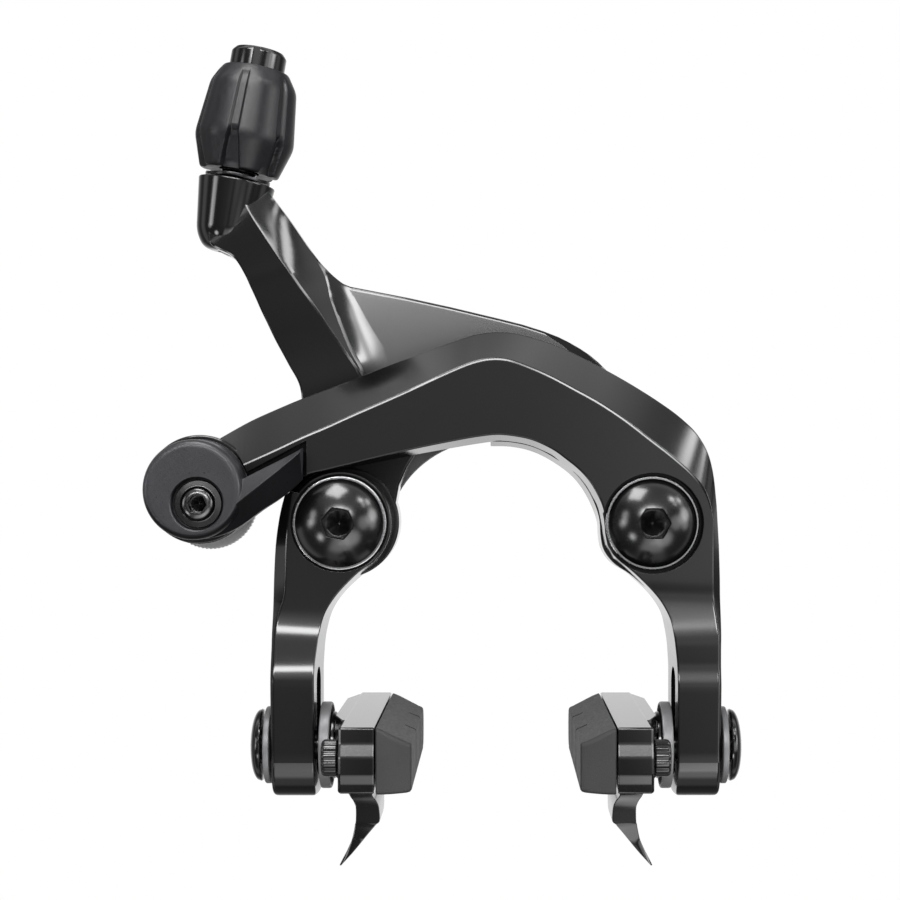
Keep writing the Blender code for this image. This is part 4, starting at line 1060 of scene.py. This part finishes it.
def pad_bolt():
    turns, end = thread(2.6, 2.25, 19.2, 14.0, -0.8, (-0.2, -0.4, -0.5))
    profile = [(0, 19.8), (2.3, 19.8), (2.6, 19.5)] + turns
    profile += [(2.6, end), (2.6, 2.05), (6.0, 2.05), (6.35, 1.97), (6.45, 1.75)]
    profile += fillet_profile([(6.45, 1.75), (6.2, 1.0, 0.8), (5.0, 0.35, 1.5),
                               (3.2, 0.02)])[1:]
    profile += [(2.55, 0.2), (0, 0.2)]
    return combine(turned(profile, (-43.95, PAD_Y, PAD_Z), X_AXIS),
                   ("-", rod((-46, PAD_Y, PAD_Z), (-42.5, PAD_Y, PAD_Z), hex_radius(2.0), 6,
                             0.2)))


def notched(angle, r, h):
    if r < 2.6:
        return r, h
    return r - 0.28 * (0.5 + 0.5 * math.cos(angle * 12)) ** 2, h


def retaining_screw():
    profile = fillet_profile([(0, 0.35), (1.5, 0.1, 0.2), (2.8, 0.1, 0.3), (3.15, 0.5, 0.3),
                              (3.15, 2.75, 0.2), (2.9, 3.0, 0.1), (1.2, 3.0), (1.2, 6.0),
                              (0, 6.0)], 3)
    return turned(profile, (-29.9, SCREW_Y, SCREW_Z), X_AXIS, 144, notched)


def dished_washer():
    profile = [(3.4, 0), (7.35, 0), (7.65, 0.1), (7.75, 0.35), (7.75, 1.6), (7.65, 1.85),
               (7.45, 1.95), (7.2, 1.9), (7.0, 1.7), (6.85, 1.35), (6.6, 1.2), (3.4, 1.2)]
    return turned(profile, (-31.45, PAD_Y, PAD_Z), X_AXIS)


PADS = [   # title, mesh, material, part of the body's name, CAD node, slot
    ("slot_washer", washer(3.2, 6.9, 1.1, (-41.4, PAD_Y, PAD_Z), X_AXIS, edge=0.3), M_WASHER,
     "carrier", "outer_washer", "washer_grey"),
    ("dished_washer", dished_washer(), M_WASHER, "carrier", "inner_washer", "washer_grey"),
    ("pad_bolt_domed", pad_bolt(), M_GLOSS, "body", "pad_bolt", "gloss_black"),
    ("cup_washer", washer(2.9, 6.0, 1.1, (-29.85, PAD_Y, PAD_Z), X_AXIS, edge=0.35), M_GLOSS,
     "body", "convex_washer", "gloss_black"),
    ("holder_with_fin", pad_holder(), M_GLOSS, "body", "pad_holder", "gloss_black"),
    ("rubber_block", rubber_block(), M_RUBBER, "body", "brake_pad", "pad_rubber"),
    ("pad_screw_notched", retaining_screw(), M_GLOSS, "body", "retaining_screw",
     "gloss_black"),
]
for title, mesh, material, body, node, slot in PADS:
    piece("left_" + title, mesh, material, "left_pad_" + body, "left_" + node)
    piece("right_" + title, mirrored(mesh), material, "right_pad_" + body, "right_" + node)


# ================================================== plate, spring and roller
def back_plate():
    """Flat arch between the two bolts, lying at the very back."""
    angles = [math.pi * i / 48 for i in range(49)]
    inner = [(20.5 * math.cos(a), -3 + 18.5 * math.sin(a)) for a in angles]
    outer = [(30.5 * math.cos(math.pi - a), -2 + 26.6 * math.sin(math.pi - a)) for a in angles]
    ends = [(-BOLT_X, 0), (BOLT_X, 0)]
    return combine(plate_y(inner + outer, -1.5, 0.0, edge=0.18, seg=2),
                   *[("+", disc_y(end, -1.5, 8, 1.5, 0.18, 0.18, 96)) for end in ends],
                   *[("-", rod_y(end, 3.3, -3, 2)) for end in ends])


def tube(points, radius, n=12):
    points = [Vector(p) for p in points]
    rings = []
    back = Vector(Y_AXIS)
    for i, p in enumerate(points):
        along = (points[min(i + 1, len(points) - 1)] - points[max(i - 1, 0)]).normalized()
        side = (back - along * back.dot(along)).normalized()
        other = along.cross(side)
        angles = [2 * math.pi * k / n for k in range(n)]
        rings.append([tuple(p + (side * math.cos(a) + other * math.sin(a)) * radius)
                      for a in angles])
    return loft(rings)


def return_spring():
    """Coil of three and a quarter turns round the left bolt."""
    path, steps = [], 180
    for i in range(steps + 1):
        a = math.radians(200) - 2 * math.pi * 3.25 * i / steps
        path.append((-BOLT_X + 7.2 * math.cos(a), -8.1 + 4.9 * i / steps, 7.2 * math.sin(a)))
    return tube(path, 0.65)


piece("back_plate_pressed", back_plate(), M_PLATE, "root", "back_plate")
piece("return_spring_coil", return_spring(), M_STEEL, "root", "return_spring")
piece("link_roller_ring", washer(1.8, 3.4, 4.7, (0, -12.1, 24), Y_AXIS, edge=0.35, n=72),
      M_STEEL, "link_roller_body", "link_roller")

# CAD nodes that keep their own mesh and only take a finish
NODE_FINISH = dict.fromkeys(("left_pivot_sleeve", "right_pivot_sleeve", "link_roller_pin",
                             "contact_plate", "centring_screw"), M_STEEL)
NODE_FINISH["right_rear_spacer"] = M_WASHER
for name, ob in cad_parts.items():
    material = M_BRONZE if "bush" in name else NODE_FINISH.get(name)
    if material:
        ob.data.materials.clear()
        ob.data.materials.append(material)


# ============================================================== camera, stage
def add_camera():
    camera = bpy.data.cameras.new("camera")
    camera.lens = 74.4
    camera.sensor_width = 36.0
    camera.shift_x = -0.0511
    camera.shift_y = 0.0333
    camera.clip_start = 0.01
    ob = new_object("camera", camera)
    ob.location = (0.0, -0.353, (7.7 - ORIGIN_Z) / 1000)
    ob.rotation_euler = (math.radians(90), 0, 0)
    SCENE.camera = ob
    SCENE.view_settings.view_transform = 'Standard'
    SCENE.view_settings.look = 'None'
    SCENE.view_settings.exposure = 0.0


def add_floor():
    """A plain white floor well below the caliper, which neither reflects nor shades it."""
    bpy.ops.mesh.primitive_plane_add(size=6.0, location=(0, 0, -0.16))
    floor = bpy.context.object
    floor.name = "floor"
    material = bpy.data.materials.new("floor_white")
    graph = Graph(material, "ShaderNodeOutputMaterial")
    graph.finish(graph.add("ShaderNodeEmission", {0: (1, 1, 1, 1), 1: 1.0})[0])
    floor.data.materials.append(material)
    floor.visible_glossy = False
    floor.visible_diffuse = False
    floor.visible_shadow = False


# The world is white to the camera and a painted studio to every other ray. A direction is
# theta, degrees from the camera's side (-y), and phi, degrees from straight up to the right.
# Brightness along theta: (theta, strength), for the ceiling, a strip light in it, the ground
# and the sides.
CEILING = [(0, 0.40), (6, 0.45), (12, 0.8), (17, 1.2), (22, 1.7), (25, 2.4), (32, 2.4),
           (33.5, 2.0), (37, 0.55), (60, 0.48), (72, 0.42), (83, 0.52), (91, 1.0), (99, 1.6),
           (106, 0.6), (112, 0.15), (126, 0.15), (140, 0.25), (158, 0.8), (180, 1.2)]
STRIP = [(0, 0.0), (25, 0.0), (26.5, 13.6), (32, 13.6), (33.5, 0.0), (180, 0.0)]
GROUND = [(0, 0.40), (4, 0.25), (8, 0.13), (16, 0.16), (24, 1.3), (32, 1.7), (58, 1.7),
          (68, 0.5), (86, 0.4), (96, 0.1), (126, 0.12), (140, 0.25), (158, 0.7), (180, 1.2)]
SIDES = [(0, 0.40), (8, 0.35), (16, 0.2), (30, 0.14), (40, 0.1), (84, 0.1), (94, 0.6),
         (104, 0.5), (112, 0.1), (124, 0.15), (140, 0.45), (158, 0.9), (180, 1.2)]
RAMP_TOP = 16.0                  # strength that a ramp colour of 1 stands for
# Soft round lights: theta, phi, inner and outer radius in degrees, strength
SPOTS = [
    (67, 41, 1.5, 6.5, 12.5), (78, 51.5, 2, 6.5, 9.0), (64.5, 51.5, 1.5, 4.5, 7.0),
    (77, 60, 3, 9, 1.0), (75, 76, 5, 14, 5.5), (50, 90, 7, 16, 1.9), (72, 92, 4, 12, 2.4),
    (63, 82, 4, 11, 2.0), (60, -73, 4, 9, 3.6), (65, -92, 3, 9, 3.0), (59, -87, 3, 9, 4.0),
    (50, -126, 3, 8, 7.0), (42, 178, 2, 7, 1.2), (14, 90, 2, 14, 0.6), (40, 143, 6, 22, 2.6)]


def studio_strength(graph):
    direction = graph.add("ShaderNodeTexCoord")["Generated"]
    x, y, z = graph.add("ShaderNodeSeparateXYZ", {0: direction})
    theta = graph.math('ARCCOSINE', graph.math('MULTIPLY', y, -1.0))
    theta_share = graph.math('DIVIDE', theta, math.pi)
    square = graph.math('ADD', graph.math('MULTIPLY', x, x), graph.math('MULTIPLY', z, z))
    across = graph.math('SQRT', graph.math('ADD', square, 1e-6))
    cos_phi = graph.math('DIVIDE', z, across)
    sin_phi = graph.math('DIVIDE', x, across)

    def ramp(stops):
        out = graph.add("ShaderNodeValToRGB", {0: theta_share})[0]
        elements = out.node.color_ramp.elements
        while len(elements) > 1:
            elements.remove(elements[-1])
        for i, (degrees, strength) in enumerate(stops):
            element = elements[0] if i == 0 else elements.new(degrees / 180)
            element.position = degrees / 180
            element.color = (*[strength / RAMP_TOP] * 3, 1)
        return graph.math('MULTIPLY', out, RAMP_TOP)

    up = graph.smooth(cos_phi, 0.45, 0.82)
    down = graph.smooth(graph.math('MULTIPLY', cos_phi, -1.0), 0.86, 0.97)
    sideways = graph.math('SUBTRACT', graph.math('SUBTRACT', 1.0, up), down)
    # the strip light is dimmed over a short stretch right of the middle
    gap_end = graph.math('MULTIPLY', graph.smooth(sin_phi, 0.33, 0.45), 1.0)
    gap = graph.math('SUBTRACT', graph.smooth(sin_phi, 0.215, 0.275), gap_end)
    dimming = graph.math('SUBTRACT', 1.0, graph.math('MULTIPLY', gap, 0.75))
    strip = graph.math('MULTIPLY', ramp(STRIP), dimming)
    total = graph.math('MULTIPLY', graph.math('ADD', ramp(CEILING), strip), up)
    for stops, weight in ((GROUND, down), (SIDES, sideways)):
        total = graph.math('ADD', total, graph.math('MULTIPLY', ramp(stops), weight))
    for theta_deg, phi_deg, inner, outer, strength in SPOTS:
        th, phi = math.radians(theta_deg), math.radians(phi_deg)
        aim = (math.sin(th) * math.sin(phi), -math.cos(th), math.sin(th) * math.cos(phi))
        facing = graph.vector('DOT_PRODUCT', direction, aim)["Value"]
        spot = graph.smooth(facing, math.cos(math.radians(outer)),
                            math.cos(math.radians(inner)))
        total = graph.math('ADD', total, graph.math('MULTIPLY', spot, strength))
    return total


def add_world():
    world = bpy.data.worlds.new("studio")
    SCENE.world = world
    graph = Graph(world, "ShaderNodeOutputWorld")
    studio, white = (graph.add("ShaderNodeBackground", {0: (1, 1, 1, 1), 1: strength})[0]
                     for strength in (studio_strength(graph), 1.0))
    camera_ray = graph.add("ShaderNodeLightPath")["Is Camera Ray"]
    graph.finish(graph.add("ShaderNodeMixShader", {0: camera_ray, 1: studio, 2: white})[0])


def add_softbox(name, place, target, size, radiance):
    """A square area light whose face shows the given radiance."""
    light = bpy.data.lights.new(name, 'AREA')
    light.shape = 'RECTANGLE'
    light.size = size
    light.size_y = size
    light.energy = radiance * math.pi * size * size
    ob = new_object(name, light)
    ob.location = place
    aim = Vector(target) - Vector(place)
    ob.rotation_euler = aim.to_track_quat('-Z', 'Y').to_euler()


add_camera()
add_floor()
add_world()
add_softbox("key_top_left", place=(-0.047, -0.075, 0.134), target=(0, -0.02, -0.02),
            size=0.085, radiance=9.0)
